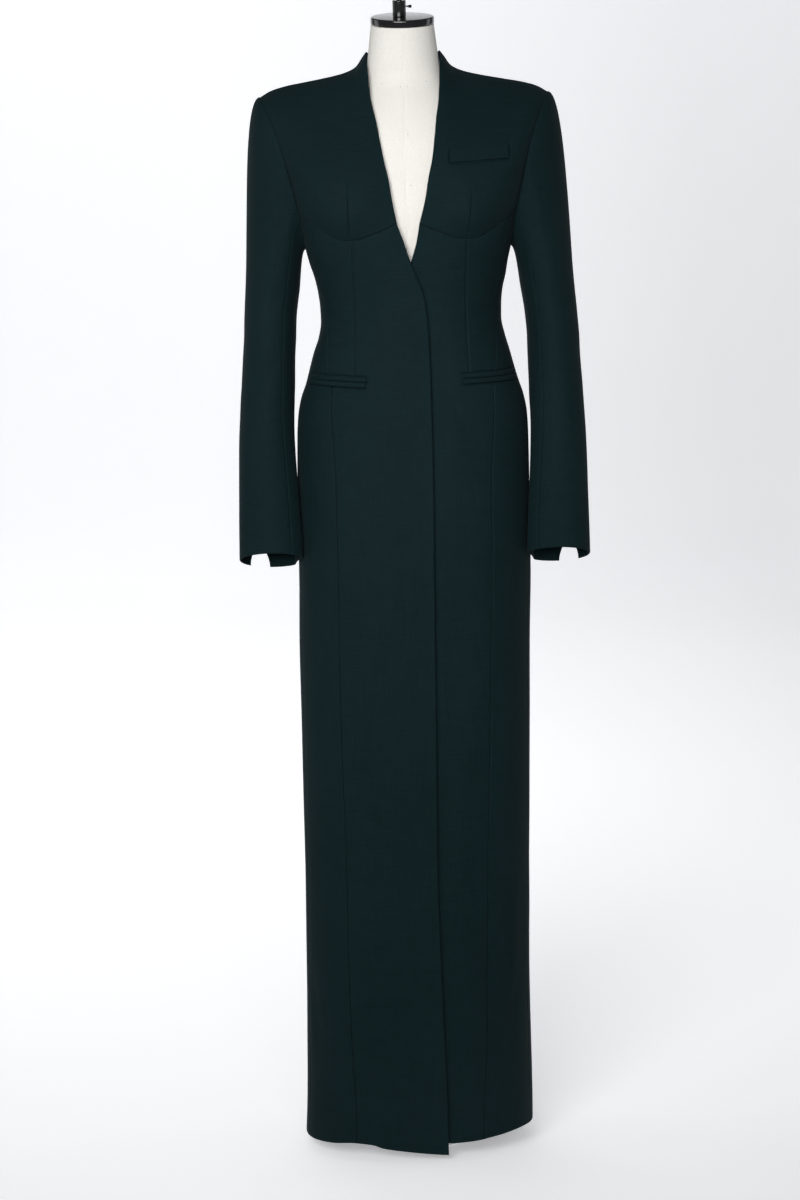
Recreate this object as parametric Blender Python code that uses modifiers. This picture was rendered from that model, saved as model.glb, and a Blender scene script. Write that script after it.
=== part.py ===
"""A tailored long coat, worn by a limbless dress form on a flat-based stand.

Metres, +Z up. The coat's front faces -Y and the side worn on the left arm lies towards +X.
The origin is on the floor, under the middle of the form. "Side" is -1 towards -X and +1 towards +X.
"""
import math

import bmesh
import bpy
import numpy as np
from mathutils import Vector

# Cloth
WALL = 0.002
SEAM_GAP = 0.0003
LAP_GAP = 0.0010
LAP_REST = 0.010
LAP_EASE = 0.030
LAP_TOP_Z = 1.362
LAP_TOP_EASE = 0.030
WELT_THICKNESS = 0.0015
WELT_LIFT = 0.0006

# Mesh fineness: how many parts each listed span of a panel is cut into
PARTS = 1

# Levels of the coat that its panels share, from just above the hem to just under the armhole
LEVELS = (0.06, 0.13, 0.20, 0.28, 0.36, 0.44, 0.52, 0.60, 0.68, 0.76, 0.84, 0.92, 1.00, 1.05, 1.085,
          1.110, 1.1365, 1.1585, 1.175, 1.193, 1.212, 1.2325, 1.258, 1.285, 1.310)
HEM_LEVEL = 0.02
BACK_YOKE_LEVEL = 1.336

# Panels whose walls are made in two closed lengths, so that the collision hulls follow the
# hollow beside them: the row where one ends, and the name of each length in the rows' order
PANEL_LENGTHS = {
    "back": (10, "back_skirt", "back"),
    "side_panel": (10, "side_skirt", "side_panel"),
    "upper_sleeve": (8, "upper_sleeve", "fore_sleeve"),
}

# Dress form and stand
NECK_TOP_Z = 1.6455
NECK_TOP_Y = -0.0135
NECK_TILT = math.radians(11.0)
CAP_RADIUS = 0.0452
CAP_HEIGHT = 0.0105
SOCKET_RADIUS = 0.0095
SOCKET_HEIGHT = 0.0225
SOCKET_X = -0.0040
SCREW_RADIUS = 0.0022
SCREW_LENGTH = 0.0085
ROD_RADIUS = 0.0043
ROD_LENGTH = 0.022
POLE_RADIUS = 0.0125
POLE_Y = 0.012
BASE_RADIUS = 0.077
BASE_Y = 0.035
BASE_THICKNESS = 0.010
TOUCH_GAP = 0.0003
SMOOTH_ANGLE = 45.0


class Table:
    """Rows of numbers with named columns, read between rows by a cubic that never overshoots."""

    def __init__(self, names, rows):
        self.names = names
        self.data = np.array(rows, dtype=float)
        keys = self.data[:, 0]
        steps = np.diff(keys)[:, None]
        slopes = np.diff(self.data, axis=0) / steps
        inner = np.zeros((len(keys) - 2, self.data.shape[1]))
        same_way = slopes[:-1] * slopes[1:] > 0
        pair_sum = slopes[:-1] + slopes[1:]
        inner[same_way] = 2 * (slopes[:-1] * slopes[1:])[same_way] / pair_sum[same_way]
        self.slopes = np.vstack([slopes[:1], inner, slopes[-1:]])

    def __call__(self, name, at):
        column = self.names.index(name)
        keys = self.data[:, 0]
        at = min(max(at, keys[0]), keys[-1])
        row = int(min(max(np.searchsorted(keys, at) - 1, 0), len(keys) - 2))
        step = keys[row + 1] - keys[row]
        t = (at - keys[row]) / step
        low, high = self.data[row, column], self.data[row + 1, column]
        low_slope, high_slope = self.slopes[row, column], self.slopes[row + 1, column]
        return ((2 * t**3 - 3 * t**2 + 1) * low + (t**3 - 2 * t**2 + t) * step * low_slope
                + (3 * t**2 - 2 * t**3) * high + (t**3 - t**2) * step * high_slope)


# The coat's level sections: half a superellipse in front and half behind
BODY = Table(
    ("z", "centre_x", "half_width", "front", "back", "power"),
    [
        (0.000, -0.0080, 0.1702, 0.1085, 0.1330, 2.30),
        (0.090, -0.0055, 0.1684, 0.1085, 0.1320, 2.30),
        (0.270, -0.0047, 0.1660, 0.1100, 0.1310, 2.30),
        (0.400, -0.0030, 0.1659, 0.1115, 0.1310, 2.30),
        (0.520, -0.0020, 0.1667, 0.1130, 0.1310, 2.30),
        (0.640, -0.0011, 0.1674, 0.1145, 0.1310, 2.30),
        (0.760, -0.0002, 0.1682, 0.1160, 0.1310, 2.30),
        (0.860, 0.0022, 0.1684, 0.1165, 0.1310, 2.30),
        (1.000, 0.0028, 0.1680, 0.1170, 0.1300, 2.30),
        (1.060, 0.0030, 0.1672, 0.1165, 0.1280, 2.30),
        (1.093, 0.0033, 0.1652, 0.1155, 0.1240, 2.30),
        (1.118, 0.0034, 0.1605, 0.1140, 0.1190, 2.25),
        (1.140, 0.0038, 0.1530, 0.1105, 0.1130, 2.20),
        (1.162, 0.0037, 0.1470, 0.1070, 0.1080, 2.20),
        (1.184, 0.0039, 0.1411, 0.1045, 0.1030, 2.20),
        (1.205, 0.0045, 0.1345, 0.1020, 0.0980, 2.20),
        (1.2295, 0.0040, 0.1302, 0.1000, 0.0915, 2.25),
        (1.250, 0.0038, 0.1307, 0.1005, 0.0910, 2.30),
        (1.270, 0.0036, 0.1328, 0.1025, 0.0920, 2.40),
        (1.290, 0.0038, 0.1372, 0.1060, 0.0940, 2.50),
        (1.313, 0.0022, 0.1428, 0.1105, 0.0970, 2.70),
        (1.335, 0.0020, 0.1480, 0.1140, 0.1000, 2.90),
        (1.360, 0.0020, 0.1535, 0.1165, 0.1025, 3.10),
        (1.380, 0.0020, 0.1572, 0.1180, 0.1035, 3.30),
        (1.450, 0.0010, 0.1600, 0.1180, 0.1035, 3.30),
        (1.550, 0.0000, 0.1600, 0.1180, 0.1035, 3.30),
    ],
)

# The edge of the front that laps over, and the hidden edge of the front under it
LAP_EDGE = Table(
    ("z", "x"),
    [
        (0.011, 0.0345), (0.113, 0.0336), (0.218, 0.0306), (0.323, 0.0284), (0.427, 0.0263),
        (0.633, 0.0278), (0.876, 0.0296), (1.007, 0.0306), (1.140, 0.0298), (1.197, 0.0284),
        (1.2434, 0.0255), (1.2615, 0.0230), (1.2756, 0.0190), (1.2924, 0.0122), (1.312, 0.0045),
        (1.330, -0.0011), (1.344, -0.0057), (1.366, -0.0138),
    ],
)
UNDER_EDGE = Table(
    ("z", "x"),
    [
        (0.020, -0.0200), (1.000, -0.0280), (1.190, -0.0270), (1.230, -0.0240), (1.260, -0.0160),
        (1.290, -0.0045), (1.312, 0.0045), (1.330, 0.0105), (1.344, 0.0139), (1.366, 0.0178),
    ],
)

# Where the front meets the side panel, as a share of the half width, and the side seam's bearing
FRONT_SEAM = Table(
    ("z", "share"),
    [
        (0.00, 0.545), (0.09, 0.562), (0.15, 0.585), (0.24, 0.605), (0.34, 0.619), (0.47, 0.625),
        (0.61, 0.643), (0.74, 0.649), (0.87, 0.656), (1.00, 0.662), (1.09, 0.700), (1.134, 0.744),
        (1.168, 0.818), (1.202, 0.890), (1.2325, 0.930), (1.300, 0.962), (1.345, 0.985),
    ],
)
SIDE_SEAM = Table(
    ("z", "degrees"),
    [(0.00, 78.0), (0.85, 78.0), (1.10, 80.0), (1.20, 86.0), (1.28, 92.0), (1.336, 97.0)],
)

# The underbust seam: its height at each reach from the middle
BUST_SEAM = Table(
    ("reach", "z"),
    [
        (0.0158, 1.3660), (0.0360, 1.3575), (0.0550, 1.3500), (0.0720, 1.3447), (0.0870, 1.3440),
        (0.1010, 1.3468), (0.1150, 1.3545), (0.1330, 1.3670), (0.1510, 1.3780),
    ],
)

# The neckline from the underbust seam to its raised tip beside the neck
NECKLINE = Table(
    ("z", "centre_x", "reach", "y"),
    [
        (1.3660, 0.0020, 0.0158, -0.1168), (1.3997, 0.0032, 0.0230, -0.1175),
        (1.4270, 0.0036, 0.0273, -0.1135), (1.4550, 0.0036, 0.0335, -0.1060),
        (1.4830, 0.0030, 0.0382, -0.0950), (1.5110, 0.0021, 0.0424, -0.0810),
        (1.5400, 0.0010, 0.0480, -0.0630), (1.5700, 0.0004, 0.0508, -0.0420),
        (1.5950, 0.0000, 0.0523, -0.0190), (1.6095, 0.0000, 0.0528, 0.0080),
    ],
)
BACK_NECKLINE = Table(
    ("share", "reach", "y", "z"),
    [
        (0.0, 0.0000, 0.0600, 1.5985), (0.3, 0.0200, 0.0565, 1.5988), (0.6, 0.0380, 0.0440, 1.6020),
        (0.85, 0.0500, 0.0250, 1.6068), (1.0, 0.0528, 0.0080, 1.6095),
    ],
)
CENTRE_BACK = Table(
    ("z", "y"),
    [
        (1.336, 0.1000), (1.370, 0.1035), (1.410, 0.1045), (1.450, 0.1020), (1.490, 0.0930),
        (1.530, 0.0800), (1.565, 0.0675), (1.5985, 0.0600),
    ],
)

# The shoulder seam, from the neckline's tip to the armhole
SHOULDER = Table(
    ("share", "reach", "z"),
    [
        (0.000, 0.0528, 1.6095), (0.125, 0.0590, 1.6010), (0.250, 0.0680, 1.5885),
        (0.375, 0.0850, 1.5803), (0.500, 0.1100, 1.5745), (0.625, 0.1400, 1.5690),
        (0.750, 0.1700, 1.5630), (0.875, 0.1900, 1.5572), (1.000, 0.2050, 1.5487),
    ],
)
SHOULDER_Y = 0.008
FRONT_COLUMNS = 8
NECK_COLUMNS = 3
SHOULDER_COLUMNS = 8
NECK_SHARE = 0.30
FRONT_TOP_HOLD = 1.5
BACK_TOP_HOLD = 3.0
BUST_SWELL = 0.0205
BUST_PEAK = 0.24
BLADE_SWELL = 0.0055

# The armhole by bearing: 0 in front, 90 at the shoulder, 180 behind and 270 under the arm.
# A reach of 0 puts the point on the body's own section.
ARMHOLE_START = -33.0
ARMHOLE_FRONT_SEAM = 300.0
ARMHOLE_SIDE_SEAM = 250.0
FRONT_ARMHOLE_PARTS = 10
BACK_ARMHOLE_PARTS = 8
UNDERARM_TURNS = (250.0, 262.0, 275.0, 288.0, 300.0)
ARMHOLE_ROWS = [
    (-33.0, 0, -0.0600, 1.3780), (-20.0, 0.1575, -0.0670, 1.4000), (0.0, 0.1668, -0.0680, 1.4400),
    (20.0, 0.1775, -0.0590, 1.4800), (40.0, 0.1880, -0.0440, 1.5100),
    (60.0, 0.1970, -0.0260, 1.5320), (75.0, 0.2020, -0.0090, 1.5435),
    (90.0, 0.2050, 0.0080, 1.5487), (105.0, 0.2045, 0.0230, 1.5430),
    (120.0, 0.2000, 0.0390, 1.5270), (140.0, 0.1895, 0.0560, 1.4970),
    (160.0, 0.1785, 0.0680, 1.4620), (180.0, 0.1690, 0.0730, 1.4280),
    (200.0, 0.1610, 0.0720, 1.3960), (220.0, 0.1540, 0.0600, 1.3660),
    (235.0, 0.1495, 0.0420, 1.3480), (250.0, 0, 0.0180, 1.3360), (262.0, 0, 0.0030, 1.3310),
    (275.0, 0, -0.0120, 1.3310), (288.0, 0, -0.0280, 1.3360), (300.0, 0, -0.0400, 1.3450),
    (327.0, 0, -0.0600, 1.3780),
]

# The hem's height by bearing, for the front that laps over and the side under it
HEM_OVER = Table(
    ("degrees", "z"),
    [
        (-180.0, 0.022), (-120.0, 0.021), (-80.0, 0.020), (-60.0, 0.023), (-45.0, 0.0275),
        (-35.0, 0.0265), (-27.0, 0.0215), (-10.0, 0.017), (17.0, 0.0115),
    ],
)
HEM_UNDER = Table(
    ("degrees", "z"),
    [
        (-15.0, 0.027), (20.0, 0.0265), (42.0, 0.0290), (50.0, 0.0315), (70.0, 0.0350), (82.0, 0.033),
        (120.0, 0.027), (180.0, 0.022),
    ],
)

# The arm's sections under the cap, as reaches from the middle of the body
SLEEVE = Table(
    ("z", "outer", "inner", "centre_y", "half_depth"),
    [
        (0.850, 0.2536, 0.1560, -0.0460, 0.0400), (0.930, 0.2526, 0.1580, -0.0360, 0.0430),
        (0.990, 0.2515, 0.1615, -0.0270, 0.0465), (1.050, 0.2505, 0.1660, -0.0180, 0.0495),
        (1.110, 0.2475, 0.1690, -0.0100, 0.0525), (1.160, 0.2440, 0.1680, -0.0050, 0.0550),
        (1.230, 0.2400, 0.1645, -0.0020, 0.0580), (1.270, 0.2370, 0.1590, -0.0010, 0.0600),
        (1.300, 0.2346, 0.1535, 0.0000, 0.0620),
    ],
)
CAP_END_Z = 1.270
CAP_STOPS = (0.0, 0.07, 0.17, 0.32, 0.52, 0.76, 1.0)
ARM_STOPS = (0.0, 0.09, 0.18, 0.28, 0.38, 0.48, 0.58, 0.68, 0.78, 0.87, 0.935, 1.0)
CUFF_MIDDLE_Z = {-1: 0.8875, 1: 0.8880}
CUFF_SLANT = 0.0150
SLEEVE_SEAM_TOP = 150.0
SLEEVE_SEAM_PARTS = 3
SLEEVE_SEAM_CUFF = 154.0
FRONT_SLEEVE_SEAM_CUFF = -37.0
VENT_HALF_ANGLE = 19.0
VENT_START = 0.87
ARM_CLEARANCE = 0.0045
ARM_BLEND = 0.003
ARM_INNER_SIDE = 0.3
VENT_SPREAD = 70.0

# How the sleeve's cap leaves the armhole and arrives at the arm: its lean, rise and drop, and
# the strength of its curve at the front and back, more over the shoulder, less under the arm
CAP_LEAN = 0.35
CAP_RISE = 0.12
CAP_DROP = 0.60
CAP_LEAVE = 0.045
CAP_LEAVE_OVER = 0.034
CAP_LEAVE_UNDER = 0.025
CAP_ARRIVE = 0.95
CAP_LOOK_DOWN = 0.02

# Soft folds of the body, on the face (-1 front, +1 back) from one end to the other
FOLDS = [
    # face, x from, z from, x to, z to, width, depth
    (-1, 0.072, 1.080, 0.060, 0.560, 0.019, 0.0030),
    (-1, 0.045, 1.130, 0.098, 1.030, 0.014, 0.0016),
    (-1, 0.105, 0.700, 0.092, 0.180, 0.022, 0.0022),
    (-1, -0.060, 0.900, -0.066, 0.260, 0.024, 0.0020),
    (-1, -0.020, 0.500, -0.012, 0.080, 0.026, 0.0016),
    (-1, -0.086, 1.215, -0.128, 1.185, 0.010, 0.0016),
    (1, 0.050, 1.050, 0.062, 0.200, 0.026, 0.0030),
    (1, -0.056, 1.060, -0.048, 0.300, 0.024, 0.0026),
    (1, -0.110, 0.760, -0.118, 0.120, 0.022, 0.0024),
    (1, 0.112, 0.700, 0.104, 0.100, 0.024, 0.0022),
    (1, 0.030, 1.245, 0.110, 1.215, 0.010, 0.0018),
    (1, -0.028, 1.238, -0.104, 1.222, 0.011, 0.0018),
]
FOLD_END = 0.10
FULL_FOLD_LENGTH = 0.3

# The form's level sections: a smooth core, with a wing on each side for the shoulder
FORM = Table(
    ("z", "core", "front", "back", "power", "wing", "wing_power", "centre_y"),
    [
        (0.800, 0.1500, 0.0940, 0.1120, 2.2, 0.0000, 8, 0.000),
        (0.880, 0.1540, 0.0990, 0.1150, 2.2, 0.0000, 8, 0.000),
        (0.980, 0.1530, 0.1010, 0.1150, 2.2, 0.0000, 8, 0.000),
        (1.080, 0.1440, 0.0970, 0.1080, 2.2, 0.0000, 8, 0.000),
        (1.150, 0.1290, 0.0900, 0.0960, 2.2, 0.0000, 8, 0.000),
        (1.230, 0.1180, 0.0850, 0.0830, 2.2, 0.0000, 8, 0.000),
        (1.290, 0.1240, 0.0900, 0.0850, 2.3, 0.0000, 8, 0.000),
        (1.345, 0.1320, 0.1010, 0.0900, 2.5, 0.0000, 8, 0.000),
        (1.400, 0.1360, 0.1060, 0.0930, 2.5, 0.0000, 8, 0.000),
        (1.455, 0.1360, 0.0965, 0.0900, 2.4, 0.0060, 8, 0.000),
        (1.495, 0.1240, 0.0835, 0.0800, 2.2, 0.0350, 12, 0.000),
        (1.522, 0.1010, 0.0730, 0.0670, 2.1, 0.0720, 20, 0.003),
        (1.5440, 0.0820, 0.0640, 0.0540, 2.0, 0.0990, 45, 0.006),
        (1.5578, 0.0700, 0.0580, 0.0490, 2.0, 0.0960, 90, 0.008),
        (1.5667, 0.0640, 0.0550, 0.0460, 2.0, 0.0660, 120, 0.008),
        (1.5732, 0.0595, 0.0530, 0.0450, 2.0, 0.0310, 100, 0.007),
        (1.5820, 0.0555, 0.0500, 0.0460, 2.0, 0.0085, 40, 0.003),
        (1.5930, 0.0515, 0.0470, 0.0480, 2.0, 0.0000, 30, -0.003),
        (1.608, 0.0492, 0.0465, 0.0460, 2.0, 0.0000, 30, -0.006),
        (1.6455, 0.0445, 0.0440, 0.0440, 2.0, 0.0000, 30, -0.0135),
    ],
)
FORM_BEARINGS = (0, 14, 28, 42, 55, 66, 75, 82, 87, 90, 93, 98, 105, 114, 126, 140, 154, 167)

# Pockets by their corners in the front view: x and z at the two ends, and the height
HIP_WELTS = {
    "hip_welt_upper_R": (-0.1385, 1.1490, -0.0610, 1.1455, 0.0062),
    "hip_welt_lower_R": (-0.1415, 1.1420, -0.0625, 1.1387, 0.0062),
    "hip_welt_upper_L": (0.0755, 1.1480, 0.1465, 1.1495, 0.0062),
    "hip_welt_lower_L": (0.0755, 1.1410, 0.1490, 1.1425, 0.0062),
}
BREAST_WELT = (0.0625, 1.4490, 0.1440, 1.4545, 0.0205)
WELT_STEP = 0.0040


def refine(stops, parts):
    """The stops with each span cut into equal parts."""
    cut = [a + (b - a) * i / parts for a, b in zip(stops, stops[1:]) for i in range(parts)]
    return cut + [stops[-1]]


def soft_step(t):
    """0 to 1 with flat ends."""
    t = min(max(t, 0.0), 1.0)
    return t * t * (3 - 2 * t)


def fold_depth(x, z, face):
    """How far the folds of one face pull the surface in at a point of the front or back view."""
    depth = 0.0
    for fold_face, x0, z0, x1, z1, width, deep in FOLDS:
        if fold_face != face:
            continue
        length = math.hypot(x1 - x0, z1 - z0)
        along = ((x - x0) * (x1 - x0) + (z - z0) * (z1 - z0)) / length
        across = ((x - x0) * (z1 - z0) - (z - z0) * (x1 - x0)) / length
        fade = FOLD_END * min(1.0, length / FULL_FOLD_LENGTH)
        ends = soft_step(along / fade) * soft_step((length - along) / fade)
        depth += deep * ends * math.exp(-(across / width) ** 2)
    return depth


def body_point(z, bearing):
    """A point of the coat's body section: bearing 0 is the front, 90 the +X side."""
    turn = math.radians(bearing)
    s, c = math.sin(turn), math.cos(turn)
    depth = BODY("front", z) if c > 0 else BODY("back", z)
    power = BODY("power", z)
    reach = (abs(s / BODY("half_width", z)) ** power + abs(c / depth) ** power) ** (-1 / power)
    x = BODY("centre_x", z) + reach * s
    reach -= fold_depth(x, z, -1 if c > 0 else 1) * abs(c) ** 0.5
    return Vector((BODY("centre_x", z) + reach * s, -reach * c, z))


def body_bearing(z, x):
    """The bearing, in front, of the point of a section at a given x."""
    power = BODY("power", z)
    across = x - BODY("centre_x", z)
    share = min(abs(across / BODY("half_width", z)), 0.9999)
    depth = BODY("front", z) * (1 - share**power) ** (1 / power)
    return math.degrees(math.atan2(across, depth))


def body_reach(y, z):
    """How far the body reaches sideways at a depth and a height."""
    power = BODY("power", z)
    share = min(abs(y) / (BODY("front", z) if y < 0 else BODY("back", z)), 1.0)
    return BODY("half_width", z) * (1 - share**power) ** (1 / power)


ARMHOLE = Table(
    ("degrees", "reach", "y", "z"),
    [(turn, reach or body_reach(y, z), y, z) for turn, reach, y, z in ARMHOLE_ROWS],
)


def armhole_point(side, turn):
    """A point of the armhole seam. Under the arm it lies on the body's own section."""
    y, z = ARMHOLE("y", turn), ARMHOLE("z", turn)
    reach = body_reach(y, z) if turn >= ARMHOLE_SIDE_SEAM else ARMHOLE("reach", turn)
    return Vector((BODY("centre_x", z) + side * reach, y, z))


def front_edge_bearing(side, z):
    edge = LAP_EDGE if side < 0 else UNDER_EDGE
    return body_bearing(z, edge("x", z))


def front_seam_bearing(side, z):
    across = FRONT_SEAM("share", z) * BODY("half_width", z)
    return body_bearing(z, BODY("centre_x", z) + side * across)


def side_seam_bearing(side, z):
    return side * SIDE_SEAM("degrees", z)


def hem_height(side, bearing):
    return (HEM_OVER if side < 0 else HEM_UNDER)("z", bearing)


def tuck_under(point):
    """The front that lies under the other steps in by a wall where it is covered."""
    step = (LAP_EDGE("x", point.z) + LAP_REST + LAP_EASE - point.x) / LAP_EASE
    height = (LAP_TOP_Z - point.z) / LAP_TOP_EASE
    inset = (WALL + LAP_GAP) * soft_step(step) * soft_step(height)
    return point + Vector((0, inset, 0))


def bust_seam_point(side, share):
    """The underbust seam, from the neckline (0) to the armhole (1)."""
    start = NECKLINE("reach", NECKLINE.data[0, 0])
    end = ARMHOLE("reach", ARMHOLE_START)
    reach = start + (end - start) * share
    z = BUST_SEAM("z", reach) if share < 1 else ARMHOLE("z", ARMHOLE_START)
    return body_point(z, body_bearing(z, BODY("centre_x", z) + side * reach))


def panel_rows(tops, left, right, side, parts):
    """Rows of a body panel from the hem up, between two seams that are given as bearings."""
    columns = []
    for top, share in tops:
        if share is None:
            bearing = math.degrees(math.atan2(top.x - BODY("centre_x", top.z), -top.y))
            share = (bearing - left(top.z)) / (right(top.z) - left(top.z))
        hem_bearing = left(HEM_LEVEL) + (right(HEM_LEVEL) - left(HEM_LEVEL)) * share
        column = []
        for z in refine([hem_height(side, hem_bearing), *LEVELS, top.z], parts):
            column.append(body_point(z, left(z) + (right(z) - left(z)) * share))
        column[-1] = top
        columns.append(column)
    return [list(row) for row in zip(*columns)]


def lower_front(side, parts):
    """From the front edge to the seam under the pocket, and from the hem to the underbust seam."""
    tops = [(bust_seam_point(side, s), None) for s in refine([0.0, 1.0], FRONT_COLUMNS * parts)]
    rest = refine([ARMHOLE_START + 360, ARMHOLE_FRONT_SEAM], parts)[1:]
    tops += [(armhole_point(side, turn), None) for turn in rest]
    tops[0] = (tops[0][0], 0.0)
    tops[-1] = (tops[-1][0], 1.0)
    rows = panel_rows(
        tops,
        lambda z: front_edge_bearing(side, z),
        lambda z: front_seam_bearing(side, z),
        side,
        parts,
    )
    if side > 0:
        rows = [[tuck_under(point) for point in row] for row in rows]
    return rows


def side_panel(side, parts):
    """From the front seam to the side seam, under the arm."""
    turns = refine(UNDERARM_TURNS[::-1], parts)
    tops = [(armhole_point(side, turn), None) for turn in turns]
    tops[0] = (tops[0][0], 0.0)
    tops[-1] = (tops[-1][0], 1.0)
    return panel_rows(
        tops,
        lambda z: front_seam_bearing(side, z),
        lambda z: side_seam_bearing(side, z),
        side,
        parts,
    )


def shoulder_point(side, share):
    z = SHOULDER("z", share)
    return Vector((BODY("centre_x", z) + side * SHOULDER("reach", share), SHOULDER_Y, z))


def even_curve(points):
    """A function that runs evenly from 0 to 1 along a line of points."""
    lengths = np.cumsum([0.0] + [(b - a).length for a, b in zip(points, points[1:])])
    array = np.array(points)

    def at(share):
        return Vector([float(np.interp(share * lengths[-1], lengths, array[:, k])) for k in range(3)])

    return at


def patch(edges, columns, rows, top_hold, swell):
    """A panel spread between four edge curves, swelled out by a function of its two shares.

    The higher top_hold, the nearer to the top edge its own curve stays.
    """
    bottom, top, left, right = edges
    grid = []
    for v in rows:
        low, high = 1 - v**top_hold, v**top_hold
        row = []
        for u in columns:
            across = bottom(u) * low + top(u) * high
            up = left(v) * (1 - u) + right(v) * u
            bottom_chord = bottom(0) * (1 - u) + bottom(1) * u
            top_chord = top(0) * (1 - u) + top(1) * u
            row.append(across + up - bottom_chord * low - top_chord * high + swell(u, v))
        grid.append(row)
    return grid


def bust_swell(u, v):
    """The cup's fullness: it peaks a little above the underbust seam and fades to the shoulder."""
    rise = (v / BUST_PEAK * math.exp(1 - v / BUST_PEAK)) ** 1.4
    return Vector((0, -BUST_SWELL * math.sin(math.pi * u) ** 1.25 * rise * (1 - v) ** 0.5, 0))


def blade_swell(u, v):
    """The fullness over the shoulder blade."""
    across = math.sin(math.pi * min(u * 1.15, 1.0))
    return Vector((0, BLADE_SWELL * across * math.sin(math.pi * v) ** 1.6, 0))


def neckline_curve(side):
    heights = refine(list(NECKLINE.data[:, 0]), 6)
    return even_curve([
        Vector((NECKLINE("centre_x", z) + side * NECKLINE("reach", z), NECKLINE("y", z), z))
        for z in heights
    ])


def upper_front(side, parts):
    """From the underbust seam to the shoulder, with the raised neckline grown on."""
    turns = refine([ARMHOLE_START, 90.0], FRONT_ARMHOLE_PARTS * parts)
    neckline = neckline_curve(side)
    start = bust_seam_point(side, 0.0)
    shift = start - neckline(0.0)

    def inner_edge(v):
        return neckline(v) + shift * (1 - v)

    edges = (
        lambda u: bust_seam_point(side, u),
        lambda u: shoulder_point(side, u),
        inner_edge,
        lambda v: armhole_point(side, ARMHOLE_START + (90.0 - ARMHOLE_START) * v),
    )
    columns = refine([0.0, 1.0], FRONT_COLUMNS * parts)
    rows = [(turn - turns[0]) / (turns[-1] - turns[0]) for turn in turns]
    return patch(edges, columns, rows, FRONT_TOP_HOLD, bust_swell)


def back_neck_point(side, share):
    """The back panel's top edge: the raised back neck, then the shoulder seam."""
    if share <= NECK_SHARE:
        at = share / NECK_SHARE
        z = BACK_NECKLINE("z", at)
        reach = BACK_NECKLINE("reach", at)
        return Vector((BODY("centre_x", z) + side * reach, BACK_NECKLINE("y", at), z))
    return shoulder_point(side, (share - NECK_SHARE) / (1 - NECK_SHARE))


def back_shares(parts):
    neck = [NECK_SHARE * i / NECK_COLUMNS for i in range(NECK_COLUMNS)]
    shoulder = [NECK_SHARE + (1 - NECK_SHARE) * i / SHOULDER_COLUMNS for i in range(SHOULDER_COLUMNS + 1)]
    return refine(neck + shoulder, parts)


def centre_back_curve():
    heights = refine(list(CENTRE_BACK.data[:, 0]), 6)
    return even_curve([Vector((BODY("centre_x", z), CENTRE_BACK("y", z), z)) for z in heights])


def back(side, parts):
    """From the centre back seam to the side seam, and from the hem to the neck and shoulder."""
    shares = back_shares(parts)

    def yoke_line(share):
        middle = side * 180.0
        edge = side_seam_bearing(side, BACK_YOKE_LEVEL)
        return body_point(BACK_YOKE_LEVEL, middle + (edge - middle) * share)

    tops = [(yoke_line(share), share) for share in shares]
    lower = panel_rows(
        tops,
        lambda z: side * 180.0,
        lambda z: side_seam_bearing(side, z),
        side,
        parts,
    )
    turns = refine([ARMHOLE_SIDE_SEAM, 90.0], BACK_ARMHOLE_PARTS * parts)
    centre = centre_back_curve()
    shift = yoke_line(0.0) - centre(0.0)
    edges = (
        yoke_line,
        lambda u: back_neck_point(side, u),
        lambda v: centre(v) + shift * (1 - v),
        lambda v: armhole_point(side, ARMHOLE_SIDE_SEAM + (90.0 - ARMHOLE_SIDE_SEAM) * v),
    )
    rows = [(turn - turns[0]) / (turns[-1] - turns[0]) for turn in turns]
    upper = patch(edges, shares, rows, BACK_TOP_HOLD, blade_swell)
    return lower + upper[1:]


def arm_point(side, turn, z):
    """A point of the arm's section, kept clear of the body beside it."""
    outer, inner = SLEEVE("outer", z), SLEEVE("inner", z)
    middle, half = (outer + inner) / 2, (outer - inner) / 2
    angle = math.radians(turn)
    y = SLEEVE("centre_y", z) - SLEEVE("half_depth", z) * math.cos(angle)
    reach = middle + half * math.sin(angle)
    clear = body_reach(y, z) + ARM_CLEARANCE
    if math.sin(angle) < ARM_INNER_SIDE:
        reach = (reach + clear + math.sqrt((reach - clear) ** 2 + ARM_BLEND**2)) / 2
    return Vector((BODY("centre_x", z) + side * reach, y, z))


def cap_point(side, turn, share):
    """A point of the sleeve's cap, on a curve from the armhole seam to the arm's first section."""
    start = armhole_point(side, turn)
    end = arm_point(side, turn, CAP_END_Z)
    below = arm_point(side, turn, CAP_END_Z - CAP_LOOK_DOWN)
    angle = math.radians(turn)
    over, under = max(math.sin(angle), 0), max(-math.sin(angle), 0)
    leave = Vector((side, -CAP_LEAN * math.cos(angle), CAP_RISE * over - CAP_DROP * abs(math.cos(angle))))
    leave *= (CAP_LEAVE + CAP_LEAVE_OVER * over - CAP_LEAVE_UNDER * under) / leave.length
    arrive = (below - end).normalized() * (end - start).length * CAP_ARRIVE
    t = share
    return (start * (2 * t**3 - 3 * t**2 + 1) + leave * (t**3 - 2 * t**2 + t)
            + end * (3 * t**2 - 2 * t**3) + arrive * (t**3 - t**2))


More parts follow.
